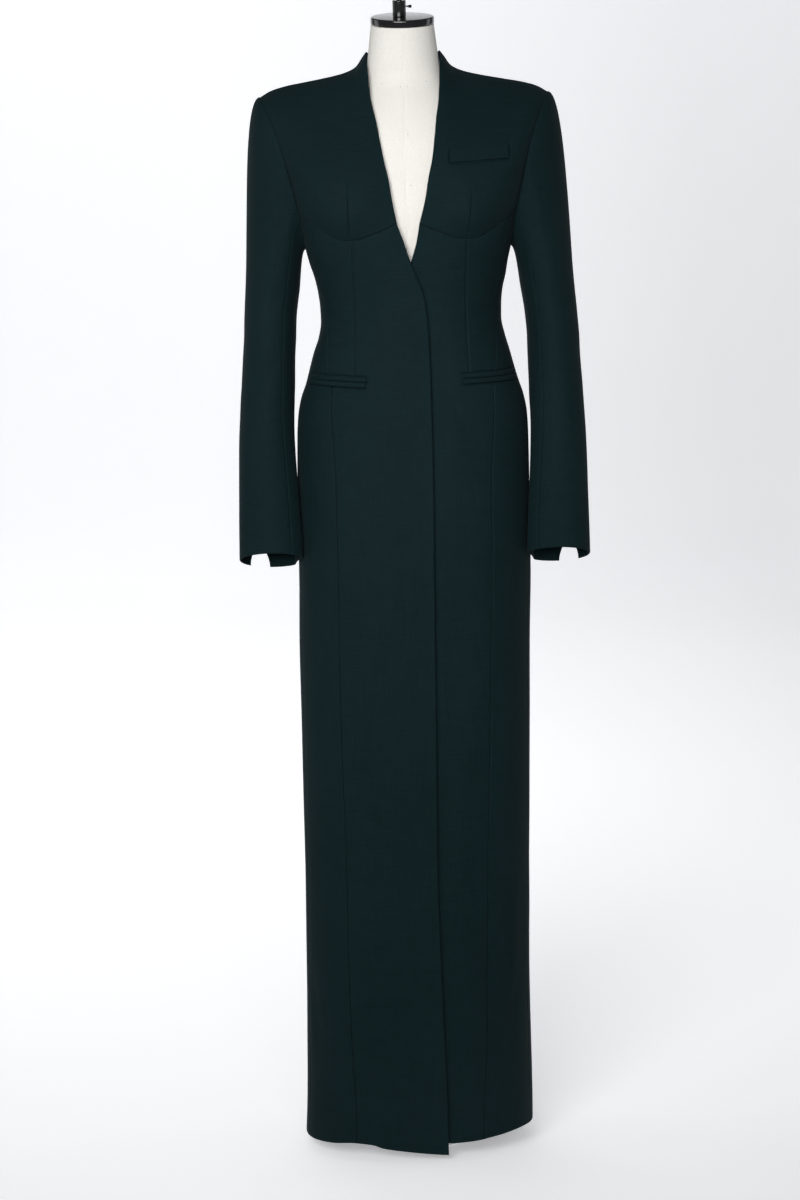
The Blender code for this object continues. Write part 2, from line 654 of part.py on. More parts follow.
def sleeve_rows(side, stops, cuff_turns, parts, vent_way):
    """Rows of a sleeve piece from the armhole to the cuff. The vent opens towards vent_way."""
    rows = []
    for share in refine(CAP_STOPS, parts)[:-1]:
        rows.append([cap_point(side, turn, share) for turn in stops])
    for share in refine(ARM_STOPS, parts):
        row = []
        for turn, cuff in zip(stops, cuff_turns):
            low_turn = turn + (cuff - turn) * soft_step(share)
            from_vent = abs(cuff - cuff_turns[0 if vent_way > 0 else -1]) / VENT_SPREAD
            open_by = VENT_HALF_ANGLE * soft_step((share - VENT_START) / (1 - VENT_START))
            low_turn += vent_way * open_by * max(1 - from_vent, 0.0)
            hem = CUFF_MIDDLE_Z[side] + CUFF_SLANT * math.cos(math.radians(low_turn))
            z = CAP_END_Z + (hem - CAP_END_Z) * share
            row.append(arm_point(side, low_turn, z))
        rows.append(row)
    return rows


def upper_sleeve(side, parts):
    """The outer piece of the sleeve, from the front seam over the shoulder to the back seam."""
    stops = refine([ARMHOLE_START, 90.0], FRONT_ARMHOLE_PARTS * parts)
    stops += refine([90.0, SLEEVE_SEAM_TOP], SLEEVE_SEAM_PARTS * parts)[1:]
    ends = (FRONT_SLEEVE_SEAM_CUFF, SLEEVE_SEAM_CUFF)
    shares = [(stop - stops[0]) / (stops[-1] - stops[0]) for stop in stops]
    cuffs = [ends[0] + (ends[1] - ends[0]) * share for share in shares]
    return sleeve_rows(side, stops, cuffs, parts, -1)


def under_sleeve(side, parts):
    """The inner piece of the sleeve, from the back seam under the arm to the front seam."""
    back_parts = (BACK_ARMHOLE_PARTS - SLEEVE_SEAM_PARTS) * parts
    stops = refine([SLEEVE_SEAM_TOP, ARMHOLE_SIDE_SEAM], back_parts)
    stops += refine([*UNDERARM_TURNS, ARMHOLE_START + 360], parts)[1:]
    ends = (SLEEVE_SEAM_CUFF, FRONT_SLEEVE_SEAM_CUFF + 360)
    shares = [(stop - stops[0]) / (stops[-1] - stops[0]) for stop in stops]
    cuffs = [ends[0] + (ends[1] - ends[0]) * share for share in shares]
    return sleeve_rows(side, stops, cuffs, parts, 1)


def grid_normals(grid, inside):
    """The outward normal at each point of a grid, away from a point inside."""
    points = np.array([[tuple(p) for p in row] for row in grid])
    up = np.gradient(points, axis=0)
    across = np.gradient(points, axis=1)
    normals = np.cross(across, up)
    normals /= np.linalg.norm(normals, axis=2, keepdims=True)
    middle = normals.shape[0] // 2, normals.shape[1] // 2
    if np.dot(normals[middle], points[middle] - np.array(inside)) < 0:
        normals = -normals
    return normals


def share_normals(panels):
    """Where panels meet at a seam, each point takes the mean of their normals."""
    sums = {}
    for grid, normals in panels.values():
        for row, normal_row in zip(grid, normals):
            for point, normal in zip(row, normal_row):
                key = tuple(round(c, 4) for c in point)
                sums[key] = sums.get(key, 0) + normal
    for grid, normals in panels.values():
        for i, row in enumerate(grid):
            for j, point in enumerate(row):
                mean = sums[tuple(round(c, 4) for c in point)]
                normals[i, j] = mean / np.linalg.norm(mean)


def pull_edges(grid, by):
    """How far each edge point moves into its own panel, to leave the gap at the seams."""
    rows, columns = len(grid), len(grid[0])
    moves = [[Vector() for _ in range(columns)] for _ in range(rows)]
    for i in range(rows):
        for j in (0, columns - 1):
            inner = grid[i][1 if j == 0 else columns - 2]
            moves[i][j] += (inner - grid[i][j]).normalized() * by
    for j in range(columns):
        for i in (0, rows - 1):
            inner = grid[1 if i == 0 else rows - 2][j]
            moves[i][j] += (inner - grid[i][j]).normalized() * by
    return moves


def material(name, colour, roughness, metallic=0.0):
    made = bpy.data.materials.new(name)
    made.use_nodes = True
    shader = made.node_tree.nodes["Principled BSDF"]
    shader.inputs["Base Color"].default_value = (*colour, 1.0)
    shader.inputs["Roughness"].default_value = roughness
    shader.inputs["Metallic"].default_value = metallic
    made.diffuse_color = (*colour, 1.0)
    return made


def new_object(name, mesh, finish):
    """An object in the model's collection, with one material."""
    made = bpy.data.objects.new(name, mesh)
    bpy.data.collections["tailored_long_coat"].objects.link(made)
    made.data.materials.append(finish)
    return made


def rim_order(point):
    """Sorts seam points the same way on both panels, so that their rims are cut alike."""
    return round(point.z, 5), round(point.x, 5)


def add_wall(name, grid, normals, finish):
    """A closed cloth wall: the grid outside, its offset inside, and a rim round the edge.

    Solidify would push neighbours' edges into each other along the shoulders, so the inner
    side is set off along the normals that the panels share.
    """
    moves = pull_edges(grid, SEAM_GAP / 2)
    rows, columns = len(grid), len(grid[0])
    bm = bmesh.new()
    sides = []
    for depth in (0.0, WALL):
        side = []
        for i in range(rows):
            row = []
            for j in range(columns):
                point = grid[i][j] + moves[i][j] - Vector(normals[i, j]) * depth
                row.append(bm.verts.new(point))
            side.append(row)
        sides.append(side)
    for side in sides:
        for i in range(rows - 1):
            for j in range(columns - 1):
                bm.faces.new((side[i][j], side[i][j + 1], side[i + 1][j + 1]))
                bm.faces.new((side[i][j], side[i + 1][j + 1], side[i + 1][j]))
    ring = [(0, j) for j in range(columns)] + [(i, columns - 1) for i in range(1, rows)]
    ring += [(rows - 1, j) for j in range(columns - 2, -1, -1)] + [(i, 0) for i in range(rows - 2, 0, -1)]
    for (i, j), (k, m) in zip(ring, ring[1:] + ring[:1]):
        near, far = sides[0][i][j], sides[0][k][m]
        far_in, near_in = sides[1][k][m], sides[1][i][j]
        if rim_order(grid[i][j]) < rim_order(grid[k][m]):
            bm.faces.new((near, far, far_in))
            bm.faces.new((near, far_in, near_in))
        else:
            bm.faces.new((near, far, near_in))
            bm.faces.new((far, far_in, near_in))
    bmesh.ops.recalc_face_normals(bm, faces=bm.faces)
    mesh = bpy.data.meshes.new(name)
    bm.to_mesh(mesh)
    bm.free()
    mesh.shade_smooth()
    mesh.set_sharp_from_angle(angle=math.radians(SMOOTH_ANGLE))
    return new_object(name, mesh, finish)


def find_on_grid(grid, normals, x, z):
    """The point and normal where a line along Y meets a panel, or None beside it."""
    for i in range(len(grid) - 1):
        for j in range(len(grid[0]) - 1):
            cell = ((i, j), (i, j + 1), (i + 1, j + 1), (i + 1, j))
            for corners in ((cell[0], cell[1], cell[2]), (cell[0], cell[2], cell[3])):
                a, b, c = (grid[k][m] for k, m in corners)
                area = (b.x - a.x) * (c.z - a.z) - (c.x - a.x) * (b.z - a.z)
                if abs(area) < 1e-12:
                    continue
                u = ((x - a.x) * (c.z - a.z) - (c.x - a.x) * (z - a.z)) / area
                v = ((b.x - a.x) * (z - a.z) - (x - a.x) * (b.z - a.z)) / area
                if u >= -1e-6 and v >= -1e-6 and u + v <= 1 + 1e-6:
                    weights = (1 - u - v, u, v)
                    point = a * weights[0] + b * weights[1] + c * weights[2]
                    normal = sum((Vector(normals[k, m]) * w for (k, m), w in zip(corners, weights)), Vector())
                    return point, normal.normalized()
    return None


def add_welt(name, corners, panels, finish, tall_parts):
    """A flat strip laid on the panels, lifted clear of them and given its thickness."""
    x0, z0, x1, z1, height = corners
    count = max(2, round(math.hypot(x1 - x0, z1 - z0) / WELT_STEP))
    bm = bmesh.new()
    rows = []
    for k in range(tall_parts + 1):
        row = []
        for j in range(count + 1):
            share = j / count
            x = x0 + (x1 - x0) * share
            z = z0 + (z1 - z0) * share + height * k / tall_parts
            for grid, normals in panels:
                found = find_on_grid(grid, normals, x, z)
                if found:
                    break
            point, normal = found
            row.append(bm.verts.new(point + normal * WELT_LIFT))
        rows.append(row)
    for low, high in zip(rows, rows[1:]):
        for j in range(count):
            bm.faces.new((low[j], low[j + 1], high[j + 1], high[j]))
    mesh = bpy.data.meshes.new(name)
    bm.to_mesh(mesh)
    bm.free()
    made = new_object(name, mesh, finish)
    thick = made.modifiers.new("thickness", "SOLIDIFY")
    thick.thickness = WELT_THICKNESS
    thick.offset = 1.0
    return made


def form_point(z, bearing):
    """A point of the form's section: its core and the wing that carries the shoulder."""
    turn = math.radians(bearing)
    s, c = math.sin(turn), math.cos(turn)
    depth = FORM("front", z) if c > 0 else FORM("back", z)
    power = FORM("power", z)
    reach = (abs(s / FORM("core", z)) ** power + abs(c / depth) ** power) ** (-1 / power)
    reach += FORM("wing", z) * abs(s) ** FORM("wing_power", z)
    return Vector((reach * s, FORM("centre_y", z) - reach * c, z))


def add_form(finish):
    """The limbless torso and its neck: one closed loft, flat underneath and at the neck."""
    bearings = list(FORM_BEARINGS)
    bearings = bearings + [180] + [360 - b for b in reversed(bearings[1:])]
    heights = list(FORM.data[:, 0])
    bm = bmesh.new()
    rings = []
    for z in heights:
        ring = [bm.verts.new(form_point(z, b)) for b in bearings]
        rings.append(ring)
    tilt = math.tan(NECK_TILT)
    for vertex in rings[-1]:
        vertex.co.z += (vertex.co.y - NECK_TOP_Y) * tilt
    count = len(bearings)
    for low, high in zip(rings, rings[1:]):
        for k in range(count):
            bm.faces.new((low[k], low[(k + 1) % count], high[(k + 1) % count], high[k]))
    bm.faces.new(list(reversed(rings[0])))
    bm.faces.new(rings[-1])
    bmesh.ops.recalc_face_normals(bm, faces=bm.faces)
    mesh = bpy.data.meshes.new("form_torso")
    bm.to_mesh(mesh)
    bm.free()
    mesh.shade_smooth()
    mesh.set_sharp_from_angle(angle=math.radians(SMOOTH_ANGLE))
    return new_object("form_torso", mesh, finish)


def add_cylinder(name, radius, height, segments, finish, bevel):
    """A round bar that stands on its origin, with softened rims."""
    bm = bmesh.new()
    bmesh.ops.create_cone(
        bm, cap_ends=True, segments=segments, radius1=radius, radius2=radius, depth=height
    )
    bmesh.ops.translate(bm, verts=bm.verts, vec=(0, 0, height / 2))
    mesh = bpy.data.meshes.new(name)
    bm.to_mesh(mesh)
    bm.free()
    mesh.shade_smooth()
    mesh.set_sharp_from_angle(angle=math.radians(SMOOTH_ANGLE))
    made = new_object(name, mesh, finish)
    if bevel:
        rim = made.modifiers.new("rim", "BEVEL")
        rim.width = bevel
        rim.segments = 2
        rim.limit_method = "ANGLE"
        rim.angle_limit = math.radians(60)
    return made


def add_neck_fittings(cap_finish, metal_finish):
    """The cap on the neck, and the socket, set screw and rod on it, all on the neck's tilted axis."""
    axis = bpy.data.objects.new("neck_axis", None)
    bpy.data.collections["tailored_long_coat"].objects.link(axis)
    axis.location = (0.0, NECK_TOP_Y, NECK_TOP_Z)
    axis.rotation_euler = (NECK_TILT, 0.0, 0.0)
    cap_base = TOUCH_GAP
    cap_top = cap_base + CAP_HEIGHT
    socket_base = cap_top + TOUCH_GAP
    cap = add_cylinder("neck_cap", CAP_RADIUS, CAP_HEIGHT, 40, cap_finish, 0.0018)
    cap.location = (0, 0, cap_base)
    socket = add_cylinder("rod_socket", SOCKET_RADIUS, SOCKET_HEIGHT, 24, metal_finish, 0.0008)
    socket.location = (SOCKET_X, 0, socket_base)
    rod = add_cylinder("rod_stub", ROD_RADIUS, ROD_LENGTH, 16, metal_finish, 0.0008)
    rod.location = (SOCKET_X, 0, socket_base + SOCKET_HEIGHT + TOUCH_GAP)
    screw = add_cylinder("set_screw", SCREW_RADIUS, SCREW_LENGTH, 12, metal_finish, 0.0004)
    screw.location = (SOCKET_X + SOCKET_RADIUS + TOUCH_GAP, 0, socket_base + SOCKET_HEIGHT * 0.6)
    screw.rotation_euler = (0.0, math.pi / 2, 0.0)
    for piece in (cap, socket, rod, screw):
        piece.parent = axis


def add_stand(finish):
    """The pole under the torso and the flat base plate, both hidden inside the skirt."""
    form_bottom = FORM.data[0, 0]
    pole_base = BASE_THICKNESS + TOUCH_GAP
    pole = add_cylinder("stand_pole", POLE_RADIUS, form_bottom - TOUCH_GAP - pole_base, 24, finish, 0.0)
    pole.location = (0, POLE_Y, pole_base)
    plate = add_cylinder("base_plate", BASE_RADIUS, BASE_THICKNESS, 48, finish, 0.0015)
    plate.location = (0, BASE_Y, 0)


def add_coat(cloth):
    """Every panel, with the normals of neighbours shared along their seams."""
    makers = {
        "lower_front": lower_front,
        "upper_front": upper_front,
        "side_panel": side_panel,
        "back": back,
        "upper_sleeve": upper_sleeve,
        "under_sleeve": under_sleeve,
    }
    panels = {}
    for side, worn in ((-1, "R"), (1, "L")):
        for kind, maker in makers.items():
            grid = maker(side, PARTS)
            sleeve = "sleeve" in kind
            inside = (side * 0.20, -0.01, 1.10) if sleeve else (0.0, 0.0, 1.20)
            panels[f"{kind}_{worn}"] = (grid, grid_normals(grid, inside))
    share_normals(panels)
    for name, (grid, normals) in panels.items():
        kind, worn = name.rsplit("_", 1)
        if kind in PANEL_LENGTHS:
            row, first, last = PANEL_LENGTHS[kind]
            add_wall(f"{first}_{worn}", grid[:row + 1], normals[:row + 1], cloth)
            add_wall(f"{last}_{worn}", grid[row:], normals[row:], cloth)
        else:
            add_wall(name, grid, normals, cloth)
    for name, corners in HIP_WELTS.items():
        worn = name[-1]
        under = [panels[f"lower_front_{worn}"], panels[f"side_panel_{worn}"]]
        add_welt(name, corners, under, cloth, 1)
    add_welt("breast_welt", BREAST_WELT, [panels["upper_front_L"]], cloth, 3)


def main():
    for old in list(bpy.data.objects):
        bpy.data.objects.remove(old)
    collection = bpy.data.collections.new("tailored_long_coat")
    bpy.context.scene.collection.children.link(collection)
    cloth = material("coat_cloth", (0.0100, 0.0165, 0.0210), 0.80)
    canvas = material("form_canvas", (0.880, 0.855, 0.800), 0.85)
    black = material("cap_black", (0.008, 0.008, 0.009), 0.15)
    enamel = material("black_enamel", (0.010, 0.011, 0.011), 0.12)
    paint = material("stand_paint", (0.86, 0.86, 0.85), 0.45)
    add_coat(cloth)
    add_form(canvas)
    add_neck_fittings(black, enamel)
    add_stand(paint)


main()
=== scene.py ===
"""Looks for the tailored long coat on its limbless dress form.

Each cloth piece is made by the same shape functions and tables as its solid, only finer, with
creases, seam turns and dart grooves added. Metres, +Z up. The coat's front faces -Y.
"Side" is -1 towards -X and +1 towards +X.
"""

import math

import bmesh
import bpy
import numpy as np
from mathutils import Euler, Matrix, Vector, noise


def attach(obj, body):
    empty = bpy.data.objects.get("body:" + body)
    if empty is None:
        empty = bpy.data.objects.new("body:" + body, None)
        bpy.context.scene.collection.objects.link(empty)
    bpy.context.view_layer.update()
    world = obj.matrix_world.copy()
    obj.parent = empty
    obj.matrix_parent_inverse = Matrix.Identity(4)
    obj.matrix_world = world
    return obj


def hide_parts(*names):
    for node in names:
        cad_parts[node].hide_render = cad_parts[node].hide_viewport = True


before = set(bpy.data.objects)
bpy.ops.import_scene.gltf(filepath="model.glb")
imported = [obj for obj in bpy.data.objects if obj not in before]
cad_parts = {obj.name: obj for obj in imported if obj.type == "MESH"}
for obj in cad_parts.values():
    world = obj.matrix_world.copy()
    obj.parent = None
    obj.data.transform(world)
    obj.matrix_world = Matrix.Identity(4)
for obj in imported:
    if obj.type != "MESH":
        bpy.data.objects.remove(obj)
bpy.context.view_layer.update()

# The camera at the photo's place and tilt
CAMERA_PLACE = (-0.0203, -4.10, 1.42)
CAMERA_PITCH = -8.33
CAMERA_ROLL = -1.2
CAMERA_LENS = 85.0
CAMERA_SENSOR = 36.0

# Mesh fineness: how many parts each listed span of a panel is cut into
PARTS = 4
SHEET_WALL = 0.0018

# Beside each edge: how far in the close rows of points lie, and how far each sinks
EDGE_STEPS = (0.0, 0.0006, 0.0014, 0.0026)
EDGE_SINKS = (0.0014, 0.0006, 0.0001, 0.0)

# The coat cloth: its darker and lighter tone
COAT_DARK = (0.0026, 0.0090, 0.0103)
COAT_LIGHT = (0.0066, 0.0160, 0.0185)

# The paper sweep: where it starts to rise, its curve, its width, and how much painted light the floor and
# wall glow with
SWEEP_START = 6.2
SWEEP_RADIUS = 2.2
SWEEP_HALF_WIDTH = 7.0
FLOOR_GLOW = 0.42
WALL_GLOW = 0.10

LIGHTS = [
    # name, x, y, z, aim x, aim y, aim z, width, height, spread, watts, red, green, blue
    ("key", -0.8, -2.8, 1.9, -0.05, 0.0, 1.15, 1.5, 1.2, 70, 14, 1.00, 0.99, 0.98),
    ("front", 0.2, -3.4, 1.7, 0.0, 0.0, 1.20, 1.2, 1.0, 55, 4, 1.00, 1.00, 1.00),
    ("left_edge", -2.4, 0.8, 1.7, 0.0, 0.0, 1.3, 1.0, 2.0, 180, 6.5, 0.98, 0.99, 1.00),
    ("right_edge", 2.6, 0.9, 1.6, 0.0, 0.0, 1.3, 0.8, 2.0, 180, 5, 0.96, 0.98, 1.00),
    ("backdrop", -0.9, 2.2, 3.0, 0.2, 4.6, 0.4, 3.4, 2.2, 180, 51, 1.00, 1.00, 1.00),
]
WORLD_STRENGTH = 0.17

# The solids that stand for each panel made in two lengths
PANEL_LENGTHS = {
    "back": ("back_skirt", "back"),
    "side_panel": ("side_skirt", "side_panel"),
    "upper_sleeve": ("upper_sleeve", "fore_sleeve"),
}

# The lapped edge and the valley beside it, the still strip at seams, and the shoulder points
LAP_PROUD = 0.0019
LAP_PROUD_WIDTH = 0.006
LAP_VALLEY = 0.0032
LAP_VALLEY_WIDTH = 0.0045
SEAM_STILL = 0.012
SHOULDER_POINT_Z = 1.45
SHOULDER_POINT_X = 0.15
SHOULDER_SINK_SHARE = 0.3

# The pocket lips and the welt: parts along, edge rounding, swell, and what the slit takes
WELT_PARTS = 44
WELT_ROUND = 0.0007
WELT_SWELL = 0.0014
SLIT_TRIM = 0.0006

# The cut of each panel: width, length and flat area, in metres and square metres
CUT_SIZES = [
    # piece, width, length, area
    ("lower_front_R", 0.206, 1.365, 0.192),
    ("lower_front_L", 0.206, 1.362, 0.183),
    ("upper_front_R", 0.175, 0.292, 0.042),
    ("upper_front_L", 0.172, 0.292, 0.041),
    ("side_panel_R", 0.097, 1.331, 0.105),
    ("side_panel_L", 0.097, 1.328, 0.104),
    ("back_R", 0.280, 1.634, 0.403),
    ("back_L", 0.280, 1.631, 0.401),
    ("upper_sleeve_R", 0.200, 0.670, 0.101),
    ("upper_sleeve_L", 0.200, 0.670, 0.101),
    ("under_sleeve_R", 0.165, 0.619, 0.071),
    ("under_sleeve_L", 0.165, 0.619, 0.071),
]

# The form's mesh and its fine centre seams
FORM_PARTS = 3
FORM_SEAM_DEPTH = 0.0004
FORM_SEAM_HALF_ANGLE = 0.45

# Small unevenness of the cloth: depth and frequency of each layer
FAINT_DEPTH = 0.00035
FAINT_PITCH = 9.0
FINE_DEPTH = 0.00012
FINE_PITCH = 34.0
DRAPE_DEPTH = 0.0010
DRAPE_ACROSS = 15.0
DRAPE_DOWN = 1.8

# A crease: how it wanders, how its ends fade, and the ridge beside its trough
CREASE_WANDER = 0.25
CREASE_WANDER_ALONG = 22.0
CREASE_WANDER_SEED = 90.0
CREASE_FADE = 0.4
RIDGE_PLACE = 1.7
RIDGE_SHARE = 0.4

# A stitched line: how far past its ends it acts, and how far round it the mesh is cut
GROOVE_SLACK = 0.0005
CUT_MARGIN_Z = 0.004
CUT_MARGIN_X = 0.012
LAP_VALLEY_SHIFT = 0.002
EDGE_STEP_SHARE = 0.3
WELT_ROW_HEIGHT = 0.0016
LIP_HEIGHT = 0.0062
LIP_LINE_RISES = {"upper": (-0.0004, 0.0071), "lower": (-0.0009,)}
BREAST_LINE_OUT = 0.0006
MARK_RADIUS = 0.0007
LATHE_TURNS = 96
LATHE_SHARP_ANGLE = math.radians(38)
FORM_SHARP_ANGLE = math.radians(50)
CAP_RIM = 0.0024
METAL_RIM = 0.0009

# The solids' wall, how one front laps over the other, and how the welts lie
WALL = 0.002
LAP_GAP = 0.0010
LAP_REST = 0.010
LAP_EASE = 0.030
LAP_TOP_Z = 1.362
LAP_TOP_EASE = 0.030
WELT_THICKNESS = 0.0015
WELT_LIFT = 0.0006
# Heights of the rows of the body panels, and where the back turns into its upper patch
LEVELS = (0.06, 0.13, 0.20, 0.28, 0.36, 0.44, 0.52, 0.60, 0.68, 0.76, 0.84, 0.92, 1.00, 1.05, 1.085,
          1.110, 1.1365, 1.1585, 1.175, 1.193, 1.212, 1.2325, 1.258, 1.285, 1.310)
HEM_LEVEL = 0.02
BACK_YOKE_LEVEL = 1.336
# The neck's tilted top, and the cap, socket, set screw and rod on it
NECK_TOP_Z = 1.6455
NECK_TOP_Y = -0.0135
NECK_TILT = math.radians(11.0)
CAP_RADIUS = 0.0452
CAP_HEIGHT = 0.0105
SOCKET_RADIUS = 0.0095
SOCKET_HEIGHT = 0.0225
SOCKET_X = -0.0040
SCREW_RADIUS = 0.0022
SCREW_LENGTH = 0.0085
ROD_RADIUS = 0.0043
ROD_LENGTH = 0.022
TOUCH_GAP = 0.0003


class Table:
    """Rows of numbers with named columns, read between rows by a cubic that never overshoots."""

    def __init__(self, names, rows):
        self.names = names
        self.data = np.array(rows, dtype=float)
        keys = self.data[:, 0]
        steps = np.diff(keys)[:, None]
        slopes = np.diff(self.data, axis=0) / steps
        inner = np.zeros((len(keys) - 2, self.data.shape[1]))
        same_way = slopes[:-1] * slopes[1:] > 0
        pair_sum = slopes[:-1] + slopes[1:]
        inner[same_way] = 2 * (slopes[:-1] * slopes[1:])[same_way] / pair_sum[same_way]
        self.slopes = np.vstack([slopes[:1], inner, slopes[-1:]])

    def __call__(self, name, at):
        column = self.names.index(name)
        keys = self.data[:, 0]
        at = min(max(at, keys[0]), keys[-1])
        row = int(min(max(np.searchsorted(keys, at) - 1, 0), len(keys) - 2))
        step = keys[row + 1] - keys[row]
        t = (at - keys[row]) / step
        low, high = self.data[row, column], self.data[row + 1, column]
        low_slope, high_slope = self.slopes[row, column], self.slopes[row + 1, column]
        return ((2 * t**3 - 3 * t**2 + 1) * low + (t**3 - 2 * t**2 + t) * step * low_slope
                + (3 * t**2 - 2 * t**3) * high + (t**3 - t**2) * step * high_slope)


BODY = Table(
    ("z", "centre_x", "half_width", "front", "back", "power"),
    [
        (0.0, -0.008, 0.1702, 0.1085, 0.133, 2.3), (0.09, -0.0055, 0.1684, 0.1085, 0.132, 2.3),
        (0.27, -0.0047, 0.166, 0.11, 0.131, 2.3), (0.4, -0.003, 0.1659, 0.1115, 0.131, 2.3),
        (0.52, -0.002, 0.1667, 0.113, 0.131, 2.3), (0.64, -0.0011, 0.1674, 0.1145, 0.131, 2.3),
        (0.76, -0.0002, 0.1682, 0.116, 0.131, 2.3), (0.86, 0.0022, 0.1684, 0.1165, 0.131, 2.3),
        (1.0, 0.0028, 0.168, 0.117, 0.13, 2.3), (1.06, 0.003, 0.1672, 0.1165, 0.128, 2.3),
        (1.093, 0.0033, 0.1652, 0.1155, 0.124, 2.3), (1.118, 0.0034, 0.1605, 0.114, 0.119, 2.25),
        (1.14, 0.0038, 0.153, 0.1105, 0.113, 2.2), (1.162, 0.0037, 0.147, 0.107, 0.108, 2.2),
        (1.184, 0.0039, 0.1411, 0.1045, 0.103, 2.2), (1.205, 0.0045, 0.1345, 0.102, 0.098, 2.2),
        (1.2295, 0.004, 0.1302, 0.1, 0.0915, 2.25), (1.25, 0.0038, 0.1307, 0.1005, 0.091, 2.3),
        (1.27, 0.0036, 0.1328, 0.1025, 0.092, 2.4), (1.29, 0.0038, 0.1372, 0.106, 0.094, 2.5),
        (1.313, 0.0022, 0.1428, 0.1105, 0.097, 2.7), (1.335, 0.002, 0.148, 0.114, 0.1, 2.9),
        (1.36, 0.002, 0.1535, 0.1165, 0.1025, 3.1), (1.38, 0.002, 0.1572, 0.118, 0.1035, 3.3),
        (1.45, 0.001, 0.16, 0.118, 0.1035, 3.3), (1.55, 0.0, 0.16, 0.118, 0.1035, 3.3),
    ],
)
LAP_EDGE = Table(
    ("z", "x"),
    [
        (0.011, 0.0345), (0.113, 0.0336), (0.218, 0.0306), (0.323, 0.0284), (0.427, 0.0263),
        (0.633, 0.0278), (0.876, 0.0296), (1.007, 0.0306), (1.14, 0.0298), (1.197, 0.0284),
        (1.2434, 0.0255), (1.2615, 0.023), (1.2756, 0.019), (1.2924, 0.0122), (1.312, 0.0045),
        (1.33, -0.0011), (1.344, -0.0057), (1.366, -0.0138),
    ],
)
UNDER_EDGE = Table(
    ("z", "x"),
    [
        (0.02, -0.02), (1.0, -0.028), (1.19, -0.027), (1.23, -0.024), (1.26, -0.016), (1.29, -0.0045),
        (1.312, 0.0045), (1.33, 0.0105), (1.344, 0.0139), (1.366, 0.0178),
    ],
)
FRONT_SEAM = Table(
    ("z", "share"),
    [
        (0.0, 0.545), (0.09, 0.562), (0.15, 0.585), (0.24, 0.605), (0.34, 0.619), (0.47, 0.625),
        (0.61, 0.643), (0.74, 0.649), (0.87, 0.656), (1.0, 0.662), (1.09, 0.7), (1.134, 0.744),
        (1.168, 0.818), (1.202, 0.89), (1.2325, 0.93), (1.3, 0.962), (1.345, 0.985),
    ],
)
SIDE_SEAM = Table(
    ("z", "degrees"),
    [(0.00, 78.0), (0.85, 78.0), (1.10, 80.0), (1.20, 86.0), (1.28, 92.0), (1.336, 97.0)],
)
BUST_SEAM = Table(
    ("reach", "z"),
    [
        (0.0158, 1.366), (0.036, 1.3575), (0.055, 1.35), (0.072, 1.3447), (0.087, 1.344), (0.101, 1.3468),
        (0.115, 1.3545), (0.133, 1.367), (0.151, 1.378),
    ],
)
NECKLINE = Table(
    ("z", "centre_x", "reach", "y"),
    [
        (1.366, 0.002, 0.0158, -0.1168), (1.3997, 0.0032, 0.023, -0.1175), (1.427, 0.0036, 0.0273, -0.1135),
        (1.455, 0.0036, 0.0335, -0.106), (1.483, 0.003, 0.0382, -0.095), (1.511, 0.0021, 0.0424, -0.081),
        (1.54, 0.001, 0.048, -0.063), (1.57, 0.0004, 0.0508, -0.042), (1.595, 0.0, 0.0523, -0.019),
        (1.6095, 0.0, 0.0528, 0.008),
    ],
)
BACK_NECKLINE = Table(
    ("share", "reach", "y", "z"),
    [
        (0.0, 0.0, 0.06, 1.5985), (0.3, 0.02, 0.0565, 1.5988), (0.6, 0.038, 0.044, 1.602),
        (0.85, 0.05, 0.025, 1.6068), (1.0, 0.0528, 0.008, 1.6095),
    ],
)
CENTRE_BACK = Table(
    ("z", "y"),
    [
        (1.336, 0.1), (1.37, 0.1035), (1.41, 0.1045), (1.45, 0.102), (1.49, 0.093), (1.53, 0.08),
        (1.565, 0.0675), (1.5985, 0.06),
    ],
)
SHOULDER = Table(
    ("share", "reach", "z"),
    [
        (0.0, 0.0528, 1.6095), (0.125, 0.059, 1.601), (0.25, 0.068, 1.5885), (0.375, 0.085, 1.5803),
        (0.5, 0.11, 1.5745), (0.625, 0.14, 1.569), (0.75, 0.17, 1.563), (0.875, 0.19, 1.5572),
        (1.0, 0.205, 1.5487),
    ],
)
# How the upper panels are divided, and their fullness over the bust and the shoulder blade
SHOULDER_Y = 0.008
FRONT_COLUMNS = 8
NECK_COLUMNS = 3
SHOULDER_COLUMNS = 8
NECK_SHARE = 0.30
FRONT_TOP_HOLD = 1.5
BACK_TOP_HOLD = 3.0
BUST_SWELL = 0.0205
BUST_PEAK = 0.24
BLADE_SWELL = 0.0055
